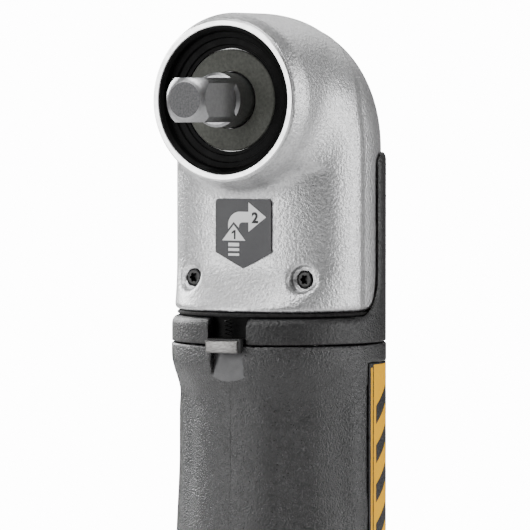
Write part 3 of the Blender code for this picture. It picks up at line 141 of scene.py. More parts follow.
GASKET_LEVEL = (GASKET[0][2]) / MM - 0.12
SEAM = GRIP_HIGH.z + 0.15
GRIP_R = 23.7
GRIP_LENGTH = SEAM - GRIP_LOW.z
HUB_FLANGE = SEAM - 2.7
HUB_BORE = 15.3
CHAMBER_R = 18.7
TAIL_BORE = 11.3
PIN_HOLE = 1.8
STEM_HOLE = 2.1
KNOB_HOLE = 2.8
SHELL_SCREW_HOLE = 1.7
SHELL_SCREW_MOUTH = 3.0
RAMP_LENGTH = 7.9                # from the seam to the foot of the recess
LABEL_MIDDLE, LABEL_HALF = 108.0, 22.0
LABEL_INNER, LABEL_OUTER = 23.2, 23.62
LABEL_BORDER = 4.6               # degrees from the label's edge to its panel
MARK_COUNT = 6
MARK_PITCH = 8.6
MARK_HEIGHT = 4.0
MARK_SLOPE = 0.26                # fall per degree from the middle


# ---------------------------------------------------------------- small number helpers
def ramp(low, high, value):
    """Smooth step from 0 at low to 1 at high; low may be the larger."""
    share = np.clip((value - low) / (high - low), 0.0, 1.0)
    return share * share * (3.0 - 2.0 * share)


def smooth_min(a, b, blend):
    share = np.clip(0.5 + 0.5 * (b - a) / blend, 0.0, 1.0)
    return b + (a - b) * share - blend * share * (1.0 - share)


def smooth_max(a, b, blend):
    return -smooth_min(-a, -b, blend)


def polar(radius, degrees):
    return radius * math.cos(math.radians(degrees)), radius * math.sin(math.radians(degrees))


# ---------------------------------------------------------------- surfaces from distance fields
def along(axis, part):
    """An index that takes part of one axis and all of the others."""
    index = [slice(None)] * 3
    index[axis] = part
    return tuple(index)


def surface_net(field, low, high, cell):
    """Vertices and quads of the surface where field(x, y, z) is zero, in tool millimetres."""
    counts = [int(math.ceil((high[i] - low[i]) / cell)) + 1 for i in range(3)]
    axes = [low[i] + cell * np.arange(counts[i]) for i in range(3)]
    values = field(*np.meshgrid(*axes, indexing="ij")).astype(np.float32)
    inside = values < 0
    cells = [n - 1 for n in counts]
    number = np.zeros(cells, np.float32)
    total = np.zeros(cells + [3], np.float32)
    crossings = []
    for axis in range(3):
        first, second = along(axis, slice(None, -1)), along(axis, slice(1, None))
        crossed = inside[first] != inside[second]
        crossings.append((crossed, inside[first]))
        gap = np.where(crossed, values[first] - values[second], 1.0)
        share = np.where(crossed, values[first] / gap, 0.0)
        others = [i for i in range(3) if i != axis]
        for da in (0, 1):
            for db in (0, 1):
                part = [slice(None)] * 3
                part[others[0]] = slice(da, da + cells[others[0]])
                part[others[1]] = slice(db, db + cells[others[1]])
                part = tuple(part)
                hit = crossed[part]
                number += hit
                total[..., axis] += np.where(hit, share[part], 0.0)
                total[..., others[0]] += hit * da
                total[..., others[1]] += hit * db
    used = number > 0
    index = np.full(cells, -1, np.int64)
    index[used] = np.arange(int(used.sum()))
    corner = np.stack(np.nonzero(used), axis=1)
    points = np.array(low) + cell * (corner + total[used] / number[used][:, None])
    quads = []
    for axis, (crossed, starts_inside) in enumerate(crossings):
        a, b = (axis + 1) % 3, (axis + 2) % 3
        edge = np.stack(np.nonzero(crossed), axis=1)
        keep = np.all((edge[:, [a, b]] > 0) & (edge[:, [a, b]] < np.array([cells[a], cells[b]])),
                      axis=1)
        edge = edge[keep]
        corners = []
        for da, db in ((-1, -1), (0, -1), (0, 0), (-1, 0)):
            place = edge.copy()
            place[:, a] += da
            place[:, b] += db
            corners.append(index[place[:, 0], place[:, 1], place[:, 2]])
        quad = np.stack(corners, axis=1)
        flip = ~starts_inside[edge[:, 0], edge[:, 1], edge[:, 2]]
        quad[flip] = quad[flip][:, ::-1]
        quads.append(quad)
    return points, np.concatenate(quads)


def settle(field, points, rounds=2, step=0.02, most=0.25):
    """Move the vertices onto the field's zero surface."""
    for _ in range(rounds):
        here = field(*points.T)
        slope = np.stack([field(*(points + step * np.eye(3)[i]).T) - here for i in range(3)],
                         axis=1) / step
        length = np.maximum((slope ** 2).sum(axis=1), 0.05)
        move = -slope * (here / length)[:, None]
        size = np.linalg.norm(move, axis=1)
        points = points + move * np.minimum(1.0, most / np.maximum(size, 1e-9))[:, None]
    return points


def to_world(points):
    return np.asarray(points) * MM + np.array([0.0, HANDLE_Y, 0.0])


def object_from(name, verts, faces, smooth=True):
    """A mesh object from vertices in tool millimetres."""
    mesh = bpy.data.meshes.new(name)
    mesh.from_pydata(to_world(verts).tolist(), [], [list(map(int, f)) for f in faces])
    mesh.validate()
    made = bpy.data.objects.new(name, mesh)
    bpy.context.scene.collection.objects.link(made)
    if smooth:
        mesh.shade_smooth()
    return made


def field_object(name, field, low, high, cell, sharp=None):
    """A smooth piece from a distance field."""
    points, quads = surface_net(field, low, high, cell)
    made = object_from(name, settle(field, points), quads)
    if sharp:
        made.data.set_sharp_from_angle(angle=math.radians(sharp))
    return made


# ---------------------------------------------------------------- turned and cut pieces
def lathe(name, profile, axis="z", centre=(0.0, 0.0, 0.0), segments=128, sharp=35.0):
    """A turned piece; profile points (radius, height) run down the outer side.

    The axis is z, or "front" for the drive axis, whose height is the reach along -Y,
    or "side" for an axis along +X.
    """
    verts, faces = [], []
    rings = []
    for radius, height in profile:
        ring = []
        count = 1 if radius < 1e-6 else segments
        for i in range(count):
            x, y = polar(radius, 360.0 * i / segments)
            ring.append(len(verts))
            verts.append((x, y, height))
        rings.append(ring)
    pairs = list(zip(rings, rings[1:]))
    if profile[0][0] > 1e-6 and profile[-1][0] > 1e-6:
        pairs.append((rings[-1], rings[0]))
    for upper, lower in pairs:
        for i in range(segments):
            j = (i + 1) % segments
            corners = [upper[i % len(upper)], lower[i % len(lower)], lower[j % len(lower)],
                       upper[j % len(upper)]]
            faces.append(list(dict.fromkeys(corners)))
    turned = []
    for x, y, z in verts:
        if axis == "front":
            x, y, z = x, -z, y
        elif axis == "side":
            x, y, z = z, y, -x
        turned.append((x + centre[0], y + centre[1], z + centre[2]))
    made = object_from(name, turned, faces)
    made.data.set_sharp_from_angle(angle=math.radians(sharp))
    return made


def prism(name, outline, low, high, facing="z", rounding=0.0, centre=(0.0, 0.0, 0.0)):
    """A flat outline given a thickness; facing "front" puts it upright, its height along -Y."""
    count = len(outline)
    verts = [(x, y, low) for x, y in outline] + [(x, y, high) for x, y in outline]
    faces = [list(reversed(range(count))), list(range(count, 2 * count))]
    faces += [[i, (i + 1) % count, count + (i + 1) % count, count + i] for i in range(count)]
    if facing == "front":
        verts = [(x, -z, y) for x, y, z in verts]
    elif facing == "side":
        verts = [(z, y, -x) for x, y, z in verts]
    verts = [(x + centre[0], y + centre[1], z + centre[2]) for x, y, z in verts]
    made = object_from(name, verts, faces)
    if rounding:
        round_edges(made, rounding)
    made.data.set_sharp_from_angle(angle=math.radians(35))
    return made


def round_edges(made, width, segments=3, angle=30.0):
    """Bevel the sharp edges, with the result applied."""
    step = made.modifiers.new("rounding", "BEVEL")
    step.width = width * MM
    step.segments = segments
    step.limit_method = "ANGLE"
    step.angle_limit = math.radians(angle)
    apply_modifiers(made)


def apply_modifiers(made):
    graph = bpy.context.evaluated_depsgraph_get()
    mesh = bpy.data.meshes.new_from_object(made.evaluated_get(graph))
    made.modifiers.clear()
    made.data = mesh
    mesh.shade_smooth()


def combine(made, other, operation, sharp=35.0):
    """Join or cut two pieces, and remove the second."""
    step = made.modifiers.new("combine", "BOOLEAN")
    step.operation = operation
    step.object = other
    step.solver = "EXACT"
    apply_modifiers(made)
    bpy.data.objects.remove(other)
    made.data.set_sharp_from_angle(angle=math.radians(sharp))
    return made


def brick(name, low, high, rounding=0.0):
    outline = [(low[0], low[1]), (high[0], low[1]), (high[0], high[1]), (low[0], high[1])]
    return prism(name, outline, low[2], high[2], rounding=rounding)


# ---------------------------------------------------------------- materials
def node_at(tree, kind, **inputs):
    made = tree.nodes.new(kind)
    for key, value in inputs.items():
        made.inputs[key.replace("_", " ")].default_value = value
    return made


def noise(tree, coords, scale, detail=2.0, roughness=0.5, stretch=None):
    if stretch:
        mapping = tree.nodes.new("ShaderNodeMapping")
        mapping.inputs["Scale"].default_value = stretch
        tree.links.new(coords, mapping.inputs["Vector"])
        coords = mapping.outputs["Vector"]
    made = node_at(tree, "ShaderNodeTexNoise", Scale=scale, Detail=detail, Roughness=roughness)
    tree.links.new(coords, made.inputs["Vector"])
    return made.outputs["Fac"]


def surface(name, dark, light, rough=(0.4, 0.5), metallic=0.0, patch=120.0, patch_detail=3.0,
            bumps=(), specular=0.5, coat=0.0, stretch=None):
    """A Principled material with mottled colour, uneven gloss and layers of fine bump.

    Each bump is (kind, scale, distance in metres, detail).
    """
    made = bpy.data.materials.new(name)
    made.use_nodes = True
    tree = made.node_tree
    shader = tree.nodes["Principled BSDF"]
    shader.inputs["Metallic"].default_value = metallic
    shader.inputs["Specular IOR Level"].default_value = specular
    shader.inputs["Coat Weight"].default_value = coat
    coords = tree.nodes.new("ShaderNodeTexCoord").outputs["Object"]
    colour = tree.nodes.new("ShaderNodeValToRGB")
    colour.color_ramp.elements[0].position = 0.3
    colour.color_ramp.elements[0].color = (*dark, 1.0)
    colour.color_ramp.elements[1].position = 0.7
    colour.color_ramp.elements[1].color = (*light, 1.0)
    tree.links.new(noise(tree, coords, patch, patch_detail, stretch=stretch),
                   colour.inputs["Fac"])
    tree.links.new(colour.outputs["Color"], shader.inputs["Base Color"])
    gloss = node_at(tree, "ShaderNodeMapRange", From_Min=0.3, From_Max=0.7, To_Min=rough[0],
                    To_Max=rough[1])
    tree.links.new(noise(tree, coords, patch * 1.7, 3.0, stretch=stretch), gloss.inputs["Value"])
    tree.links.new(gloss.outputs["Result"], shader.inputs["Roughness"])
    normal = None
    for kind, scale, distance, detail in bumps:
        if kind == "cells":
            texture = node_at(tree, "ShaderNodeTexVoronoi", Scale=scale)
            tree.links.new(coords, texture.inputs["Vector"])
            height = texture.outputs["Distance"]
        elif kind == "brushed":
            height = noise(tree, coords, scale, detail, stretch=(1.0, 0.04, 1.0))
        else:
            height = noise(tree, coords, scale, detail, 0.55)
        bump = node_at(tree, "ShaderNodeBump", Strength=1.0, Distance=distance)
        tree.links.new(height, bump.inputs["Height"])
        if normal is not None:
            tree.links.new(normal, bump.inputs["Normal"])
        normal = bump.outputs["Normal"]
    if normal is not None:
        tree.links.new(normal, shader.inputs["Normal"])
    return made


CAST_SILVER = surface("cast_silver_fine", (0.48, 0.48, 0.485), (0.68, 0.68, 0.685),
                      (0.36, 0.46), 0.9, 1500.0,
                      bumps=(("noise", 1700.0, 0.00018, 1.5), ("noise", 4200.0, 0.00005, 2.0)))
MACHINED = surface("machined_rim_fine", (0.80, 0.80, 0.80), (0.88, 0.88, 0.88), (0.30, 0.40),
                   1.0, 300.0, bumps=(("noise", 3000.0, 0.00002, 2.0),))
CUP_BLACK = surface("cup_black_fine", (0.0015, 0.0015, 0.0015), (0.003, 0.003, 0.003),
                    (0.5, 0.6), 0.0, 300.0, specular=0.08,
                    bumps=(("noise", 2500.0, 0.00002, 2.0),))
WASHER_GREY = surface("washer_grey_fine", (0.050, 0.052, 0.045), (0.078, 0.080, 0.070),
                      (0.6, 0.75), 0.0, 1500.0, specular=0.2,
                      bumps=(("noise", 3500.0, 0.00005, 3.0),))
ANVIL_STEEL = surface("anvil_steel_fine", (0.29, 0.29, 0.295), (0.35, 0.35, 0.355),
                      (0.32, 0.42), 1.0, 1600.0, bumps=(("noise", 5500.0, 0.00002, 3.0),))
END_STEEL = surface("anvil_end_fine", (0.05, 0.05, 0.052), (0.10, 0.10, 0.102),
                    (0.5, 0.6), 0.6, 2500.0, bumps=(("noise", 5000.0, 0.00004, 3.0),))
COLLAR_BLACK = surface("collar_black_fine", (0.003, 0.003, 0.0033), (0.007, 0.007, 0.0073),
                       (0.38, 0.48), 0.0, 500.0, specular=0.65,
                       bumps=(("noise", 2600.0, 0.00022, 2.0), ("cells", 1500.0, 0.0001, 0.0)))
GRIP_BLACK = surface("grip_black_fine", (0.003, 0.003, 0.0033), (0.008, 0.008, 0.0084),
                     (0.27, 0.36), 0.0, 900.0, specular=0.85,
                     bumps=(("noise", 2700.0, 0.00026, 2.0), ("cells", 2400.0, 0.00010, 0.0)))
RAMP_GREY = surface("ramp_grey_fine", (0.055, 0.055, 0.058), (0.07, 0.07, 0.073), (0.4, 0.5),
                    0.0, 400.0, bumps=(("noise", 3500.0, 0.00004, 2.0),))
GASKET_DARK = surface("gasket_dark_fine", (0.004, 0.004, 0.004), (0.014, 0.014, 0.014),
                      (0.7, 0.85), 0.0, 900.0, specular=0.3,
                      bumps=(("noise", 1800.0, 0.0003, 3.0),))
PLATE_GREY = surface("plate_grey_fine", (0.034, 0.034, 0.037), (0.060, 0.060, 0.064),
                     (0.45, 0.55), 0.0, 40.0, specular=0.4,
                     bumps=(("noise", 3000.0, 0.00001, 2.0),))
NUMERAL_DARK = surface("numeral_dark_fine", (0.018, 0.018, 0.02), (0.03, 0.03, 0.033),
                       (0.5, 0.6), 0.0, 300.0, specular=0.3,
                       bumps=(("noise", 3000.0, 0.00001, 2.0),))
SYMBOL_WHITE = surface("symbol_white_fine", (0.80, 0.80, 0.80), (0.86, 0.86, 0.86),
                       (0.5, 0.6), 0.0, 300.0, bumps=(("noise", 3000.0, 0.00001, 2.0),))
LABEL_YELLOW = surface("label_yellow_fine", (1.0, 0.47, 0.0), (1.0, 0.52, 0.0),
                       (0.4, 0.5), 0.0, 90.0, specular=0.2,
                       bumps=(("noise", 2500.0, 0.00001, 2.0),))
LATCH_STEEL = surface("latch_steel_fine", (0.10, 0.098, 0.095), (0.22, 0.215, 0.21),
                      (0.3, 0.45), 1.0, 900.0, stretch=(1.0, 1.0, 6.0),
                      bumps=(("noise", 3000.0, 0.00005, 3.0),))
LEVER_BLACK = surface("lever_black_fine", (0.014, 0.014, 0.015), (0.022, 0.022, 0.023),
                      (0.36, 0.46), 0.0, 400.0,
                      bumps=(("noise", 2600.0, 0.00012, 2.0), ("cells", 1500.0, 0.00006, 0.0)))
OXIDE_BLACK = surface("oxide_black_fine", (0.004, 0.004, 0.004), (0.010, 0.010, 0.010),
                      (0.4, 0.5), 0.0, 900.0, specular=0.3,
                      bumps=(("noise", 3000.0, 0.00003, 2.0),))
SCREW_RIM = surface("screw_rim_fine", (0.006, 0.006, 0.006), (0.018, 0.018, 0.018),
                    (0.35, 0.45), 0.4, 1500.0, bumps=(("noise", 3000.0, 0.00002, 2.0),))
GEAR_STEEL = surface("gear_steel_fine", (0.38, 0.38, 0.38), (0.50, 0.50, 0.50), (0.28, 0.42),
                     1.0, 400.0, bumps=(("noise", 2500.0, 0.00001, 2.0),))
ZINC = surface("zinc_fine", (0.50, 0.50, 0.48), (0.66, 0.65, 0.62), (0.28, 0.42), 1.0, 300.0,
               bumps=(("noise", 2200.0, 0.00002, 2.0),))
BRONZE = surface("bronze_fine", (0.36, 0.22, 0.09), (0.48, 0.31, 0.14), (0.4, 0.55), 0.9, 500.0,
                 bumps=(("noise", 2500.0, 0.00003, 2.0),))
ALLOY = surface("alloy_fine", (0.55, 0.55, 0.56), (0.66, 0.66, 0.67), (0.42, 0.58), 0.9, 200.0,
                bumps=(("noise", 1500.0, 0.00004, 2.0),))
RESIN = surface("resin_fine", (0.14, 0.07, 0.03), (0.21, 0.11, 0.05), (0.6, 0.75), 0.0, 500.0,
                bumps=(("noise", 1800.0, 0.00004, 3.0),))


def finish_piece(made, body, material, replaces=()):
    """Give a piece its material and body, and hide the CAD nodes it stands for."""
    made.data.materials.clear()
    made.data.materials.append(material)
    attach(made, body)
    if replaces:
        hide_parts(*replaces)
    return made


# ---------------------------------------------------------------- head
def neck_radius(x, y, z):
    """Radius of the neck: slim in front, flared at the foot, wide at the sides, set in behind."""
    angle = np.degrees(np.arctan2(np.abs(x), -y))
    flare = np.clip((-33.0 - z) / 12.2, 0.0, 1.1) ** 2
    front = NECK_FRONT_R + 1.5 * flare
    wide = front + (NECK_SIDE_R - front) * ramp(38.0, 80.0, angle)
    edge = 79.5 + 10.5 * ramp(-2.0, 11.0, z) + 20.0 * ramp(9.0, 15.0, z)
    return wide - REAR_STEP * np.clip((angle - edge) / 6.0, 0.0, 1.0)


def head_outer(x, y, z):
    """The casting's outside: domed neck with a flat front, blended into the barrel."""
    radius = neck_radius(x, y, z)
    rise = np.maximum(z - DOME_BASE, 0.0) / DOME_HEIGHT
    around = np.hypot(x, y) / radius
    neck = ((around ** DOME_FULLNESS + rise ** DOME_FULLNESS) ** (1.0 / DOME_FULLNESS)
            - 1.0) * radius
    flare = np.clip((-34.5 - z) / 10.5, 0.0, 1.2) ** 2
    open_top = ramp(-16.0, -6.0, z)
    flat = -y - (FLAT + 7.3 * flare + 20.0 * open_top)
    neck = smooth_max(neck, flat, 6.0)
    across = np.hypot(x, z)
    crown = BARREL_R - 0.009 * np.maximum(y + 9.0, 0.0) ** 2
    barrel_r = smooth_min(RIM_R + SHOULDER_SLOPE * (RIM + y), crown, 0.5)
    barrel = smooth_max(across - barrel_r, y - 4.0, 5.0)
    return smooth_min(neck, barrel, 4.5 - 3.5 * ramp(0.0, 12.0, z))


def head_cavity(x, y, z):
    """The bores, the same as the CAD housing's."""
    across = np.hypot(x, z)
    around = np.hypot(x, y)
    cup = np.maximum(across - RIM_BORE, CUP_FLOOR + y)
    lip = np.maximum(across - LIP_BORE - 0.1, RIM - 1.0 + y)
    drive = np.maximum(across - DRIVE_BORE, y + 0.5)
    rear = np.maximum(across - BUSHING_BORE, y - 12.0)
    pinion = np.maximum(around - PINION_BORE, z + 5.0)
    seat = np.maximum(around - PINION_SEAT, z + 14.7)
    spigot = np.maximum(around - SPIGOT_BORE, z + 36.0)
    return np.minimum.reduce([cup, lip, drive, rear, pinion, seat, spigot])


def head_field(x, y, z):
    body = head_outer(x, y, z)
    body = smooth_max(body, -y - (RIM - 0.6), 0.2)
    body = smooth_max(body, HOUSING_LOW.z - z, 1.6)
    for side in (-1.0, 1.0):
        away = np.hypot(x - side * SCREW_X, z - SCREW_Z)
        mouth = np.maximum(away - SCREW_MOUTH_R, y + SCREW_FACE)
        body = smooth_max(body, -mouth, 1.2)
        seat = np.maximum(away - SCREW_SEAT_R, y + SCREW_FACE - 2.4)
        body = np.maximum(body, -seat)
    return np.maximum(body, -head_cavity(x, y, z))


def make_head():
    low = (-24.0, -RIM - 1.0, HOUSING_LOW.z - 1.0)
    high = (24.0, 24.0, HOUSING_HIGH.z + 1.0)
    cell = 0.45
    finish_piece(field_object("head_casting", head_field, low, high, cell, 50.0), "head",
                 CAST_SILVER, ("head_housing",))
    lip = lathe("machined_lip", [
        (LIP_BORE + 0.15, RIM), (RIM_R - 0.25, RIM), (RIM_R, RIM - 0.25), (RIM_R, RIM - 0.8),
        (LIP_BORE, RIM - 0.9), (LIP_BORE, RIM - 0.15)], "front")
    finish_piece(lip, "head", MACHINED, ("head_housing",))


def make_nose():
    low, high = CUP_LOW_REACH, CUP_HIGH_REACH
    brim = LIP_BORE - 0.08
    cup = lathe("nose_cup_fine", [
        (brim, high + 0.25), (brim, high - 0.3), (15.1, high - 0.3), (15.1, low), (11.2, low),
        (11.2, low + 0.4), (11.9, low + 0.5), (12.1, low + 0.9), (13.4, low + 1.05),
        (13.6, low + 1.6), (14.7, low + 1.9), (15.0, high - 0.1), (15.6, high + 0.42)], "front")
    finish_piece(cup, "head", CUP_BLACK, ("nose_cup",))
    back, front = -WASHER_HIGH.y, -WASHER_LOW.y
    outer = WASHER_HIGH.x
    washer = lathe("dust_washer_fine", [
        (6.2, front - 0.15), (6.35, front), (outer - 0.2, front), (outer, front - 0.2),
        (outer, back), (6.2, back)], "front")
    finish_piece(washer, "head", WASHER_GREY, ("dust_washer",))


def make_anvil():
    """The spindle: turned parts, pawl hub and chamfered square."""
    tip = -ANVIL_LOW.y
    rear = -ANVIL_HIGH.y
    square_back = tip - SQUARE_LENGTH
    hub_back, hub_front = 7.9, 13.9
    spindle = lathe("anvil_fine", [
        (0.0, square_back), (SHANK_R - 0.6, square_back), (SHANK_R, square_back - 0.6),
        (SHANK_R, hub_front), (CLUTCH_HUB_R, hub_front), (CLUTCH_HUB_R, hub_back),
        (4.7, hub_back), (4.7, 3.0), (3.5, 2.4), (3.5, rear + 0.4), (3.1, rear), (0.0, rear)],
        "front", segments=96)
    half = SQUARE / 2
    flank = 0.35
    outline = [(half - flank, -half), (half, -half + flank), (half, half - flank),
               (half - flank, half), (-half + flank, half), (-half, half - flank),
               (-half, -half + flank), (-half + flank, -half)]
    square = prism("square_fine", outline, square_back - 3.0, tip - 0.02, "front")
    corners = lathe("square_corners", [
        (0.0, tip - 0.02), (SQUARE_FACE_R + 0.05, tip - 0.02), (4.9, tip - 0.75),
        (5.95, tip - 2.2), (5.95, square_back - 4.0), (0.0, square_back - 4.0)], "front",
        segments=96)
    combine(square, corners, "INTERSECT")
    combine(spindle, square, "UNION")
    for side in (1.0, -1.0):
        low = (min(-4.2 * side, 3.9 * side), -13.1, min(3.0 * side, 10.0 * side))
        high = (max(-4.2 * side, 3.9 * side), -8.7, max(3.0 * side, 10.0 * side))
        combine(spindle, brick("pawl_pocket", low, high), "DIFFERENCE")
        pin = lathe("pawl_pin", [(0.0, 13.6), (0.6, 13.6), (0.6, 8.2), (0.0, 8.2)], "front",
                    centre=(-2.2 * side, 0.0, 4.6 * side), segments=24)
        combine(spindle, pin, "UNION")
    hole = lathe("detent_hole", [(0.0, 0.8), (1.8, 0.8), (1.8, -8.0), (0.0, -8.0)], "side",
                 centre=(0.0, -BALL_REACH, 0.0), segments=32)
    combine(spindle, hole, "DIFFERENCE")
    finish_piece(spindle, "spindle", ANVIL_STEEL, ("anvil_spindle",))
    end = lathe("square_end_face", [(0.0, tip), (SQUARE_FACE_R, tip),
                                    (SQUARE_FACE_R + 0.04, tip - 0.04), (0.0, tip - 0.04)],
                "front")
    finish_piece(end, "spindle", END_STEEL)


def socket_outline(radius, swing):
    """The six-lobed socket of a screw head."""
    return [polar(radius + swing * math.cos(math.radians(60.0 * i)), 10.0 * i)
            for i in range(36)]


def make_head_screws():
    for side, name in ((-1.0, "left"), (1.0, "right")):
        centre = (side * SCREW_X, 0.0, SCREW_Z)
        screw = lathe(f"head_screw_{name}_fine", [
            (0.0, SCREW_FACE), (SCREW_HEAD_R - 0.2, SCREW_FACE),
            (SCREW_HEAD_R, SCREW_FACE - 0.2), (SCREW_HEAD_R, SCREW_FACE - SCREW_HEAD_LENGTH),
            (1.0, SCREW_FACE - SCREW_HEAD_LENGTH), (1.0, 1.5), (0.0, 1.5)], "front",
            centre=centre, segments=48)
        socket = prism("socket", socket_outline(0.98, 0.14), SCREW_FACE - 1.3,
                       SCREW_FACE + 1.0, "front", centre=centre)
        combine(screw, socket, "DIFFERENCE")
        finish_piece(screw, "head", SCREW_RIM, (f"head_screw_{name}",))


# ---------------------------------------------------------------- symbol plate
def arc(centre, radius, start, end, steps=8):
    angles = [start + (end - start) * i / steps for i in range(steps + 1)]
    return [(centre[0] + polar(radius, a)[0], centre[1] + polar(radius, a)[1]) for a in angles]


def film(name, outline, height, material, thickness=0.06):
    """A thin printed shape on the plate; the outline is x and z in tool millimetres."""
    made = prism(name, outline, height, height + thickness, "front")
    return finish_piece(made, "head", material)


def make_symbol_plate():
    front = -PLATE_LOW.y
    back = -PLATE_HIGH.y
    half = PLATE_HIGH.x
    top, point = PLATE_HIGH.z, PLATE_LOW.z
    shoulder = top - 11.7
    corner = 0.8
    right = [(half, shoulder)] + arc((half - corner, top - corner), corner, 0.0, 90.0, 5)
    left = [(-x, z) for x, z in reversed(right)]
    plate = prism("symbol_plate_fine", right + left + [(0.0, point)], back, front - 0.07, "front")
    finish_piece(plate, "head", PLATE_GREY, ("symbol_plate",))
    ink = front - 0.06
    film("arrow_up", [(-5.25, top - 9.1), (0.55, top - 9.1), (-2.37, top - 5.65)], ink,
         SYMBOL_WHITE, 0.03)
    for i, height in enumerate((0.75, 0.62, 0.5)):
        z = top - 9.6 - 1.15 * i
        film(f"arrow_bar_{i + 1}", [(-3.7, z - height), (-1.0, z - height), (-1.0, z),
                                    (-3.7, z)], ink, SYMBOL_WHITE, 0.03)
    stem_left, stem_right = -3.75, -1.05
    upper, lower = top - 2.8, top - 5.1
    bend = arc((stem_left + 2.9, upper - 2.9), 2.9, 180.0, 90.0)
    inner = arc((stem_right + 0.9, lower - 0.9), 0.9, 90.0, 180.0, 5)
    head = 1.35
    body = [(stem_left, top - 6.6)] + bend + [
        (head, upper), (head, top - 0.75), (5.75, top - 3.95), (head, top - 7.15),
        (head, lower)] + inner + [(stem_right, top - 6.3), (-2.37, top - 5.0)]
    film("arrow_turn", list(reversed(body)), ink, SYMBOL_WHITE, 0.03)
    film("numeral_1", [(-2.30, top - 8.82), (-1.86, top - 8.82), (-1.86, top - 6.80),
                       (-2.22, top - 6.80), (-2.85, top - 7.22), (-2.85, top - 7.68),
                       (-2.30, top - 7.36)], ink + 0.025, NUMERAL_DARK, 0.03)
    printed_numeral("2", 3.0, -(ink + 0.045), top - 5.15, 3.15)


def printed_numeral(text, x, y, z, size):
    curve = bpy.data.curves.new("numeral_" + text, "FONT")
    curve.body = text
    curve.size = size * MM
    curve.align_x = "CENTER"
    curve.extrude = 0.015 * MM
    curve.offset = 0.13 * MM
    drawn = bpy.data.objects.new("numeral_curve", curve)
    bpy.context.scene.collection.objects.link(drawn)
    drawn.location = to_world((x, y, z))
    drawn.rotation_euler = (math.pi / 2, 0.0, 0.0)
    bpy.context.view_layer.update()
    graph = bpy.context.evaluated_depsgraph_get()
    mesh = bpy.data.meshes.new_from_object(drawn.evaluated_get(graph))
    mesh.transform(drawn.matrix_world)
    bpy.data.objects.remove(drawn)
    made = bpy.data.objects.new(f"numeral_{text}", mesh)
    bpy.context.scene.collection.objects.link(made)
    finish_piece(made, "head", NUMERAL_DARK)


# ---------------------------------------------------------------- collar and latch
def collar_field(x, y, z):
    """The collar with its rounded top, the rear shell, and the latch window."""
    around = np.hypot(x, y)
    from_rear = np.abs(np.arctan2(x, y)) * SHELL_OUTER
    reach = math.radians(180.0 - SHELL_EDGE) * SHELL_OUTER
    shell = smooth_max(from_rear - reach, z - COLLAR_HIGH.z, 4.0)
    sheet = smooth_min(shell, z - GASKET_LEVEL, 11.0)
    outer = around - SHELL_OUTER - 0.03
    body = smooth_max(sheet, outer, 2.2)
    inner_r = np.where(z < GASKET_LEVEL, COLLAR_BORE, SHELL_INNER)
    body = np.maximum(body, inner_r - around)
    body = smooth_max(body, COLLAR_LOW.z - z, 0.3)
    window = np.maximum(np.abs(x) - WINDOW, y)
    return smooth_max(body, -window, 0.4)


def make_collar():
    low = (-24.5, -24.5, COLLAR_LOW.z - 1.0)
    high = (24.5, 24.5, COLLAR_HIGH.z + 1.0)
    cell = 0.32
    finish_piece(field_object("collar_fine", collar_field, low, high, cell, 55.0), "head",
                 COLLAR_BLACK, ("collar_boot",))
    top, bottom = GASKET_HIGH.z, GASKET_LOW.z
    ring = lathe("gasket_fine", [(22.1, top), (22.45, top - 0.3), (22.4, bottom + 0.25),
                                 (22.0, bottom), (COLLAR_BORE, bottom), (COLLAR_BORE, top)],
                 segments=160)
    finish_piece(ring, "head", GASKET_DARK, ("head_gasket",))


def make_latch():
    half = LATCH_HIGH.x
    top, bottom = LATCH_HIGH.z, LATCH_LOW.z
    front = LATCH_LOW.y
    bar_top = SEAM + 1.1
    bar = brick("latch_bar_fine", (-half, front, bottom), (half - 0.35, front + 1.2, bar_top), 0.3)
    finish_piece(bar, "latch", LATCH_STEEL, ("latch_slide",))
    slide = brick("latch_slide_fine", (-half + 0.1, front + 1.1, SEAM + 0.2),
                  (half, LATCH_HIGH.y, top - 0.3), 0.15)
    # painted shade: a black block over the steel bar's right end face, which looks dark only from
    # how the light falls on it
    end_shade_block = brick("latch_end_painted_shade", (half - 0.28, front + 0.15, bottom + 0.05),
                  (half + 0.18, front + 1.2, bar_top + 0.45), 0.12)
    combine(slide, end_shade_block, "UNION")
    finish_piece(slide, "latch", OXIDE_BLACK, ("latch_slide",))


# ---------------------------------------------------------------- grip
def grip_outer_radius(front_angle, depth):
    """Radius of the grip by angle from the front (degrees) and depth below the seam (mm)."""
    angle = np.abs(front_angle)
    frontness = 1.0 - ramp(55.0, 100.0, angle)
    waist = 2.25 * ramp(2.5, 12.5, depth)
    recover = 1.25 * ramp(24.0, 46.0, depth)
    tail = 1.4 * ramp(GRIP_LENGTH - 25.0, GRIP_LENGTH, depth)
    valley = 0.75 * ramp(6.0, 16.0, depth) * np.exp(-((angle - 38.0) / 12.0) ** 2)
    ridge = 0.45 * ramp(8.0, 16.0, depth) * np.exp(-((angle - 76.0) / 6.0) ** 2)
    fade = 1.0 - ramp(60.0, 90.0, depth)
    return GRIP_R - frontness * (waist - recover) - tail + (ridge - valley) * fade


def grip_body(x, y, z):
    around = np.hypot(x, y)
    depth = SEAM - z
    front_angle = np.degrees(np.arctan2(x, -y))
    body = around - grip_outer_radius(front_angle, depth)
    body = smooth_max(body, z - GRIP_HIGH.z, 0.5)
    body = smooth_max(body, GRIP_LOW.z - z, 1.5)
    return smooth_max(body, -thumb_ramp(x, y, z), 0.3)


def ramp_floor(z):
    """How far the floor of the recess lies along y."""
    return -(22.35 - 0.17 * (z - (SEAM - 7.4)))


def ramp_foot(x):
    """Height of the recess's curved lower edge."""
    return SEAM - RAMP_LENGTH + (x / 4.6) ** 2 * 1.3


def thumb_ramp(x, y, z):
    """The recess under the latch bar."""
    width = 4.15 - 0.07 * (z - SEAM + 7.0)
    return np.maximum.reduce([np.abs(x) - width, y - ramp_floor(z), ramp_foot(x) - z])


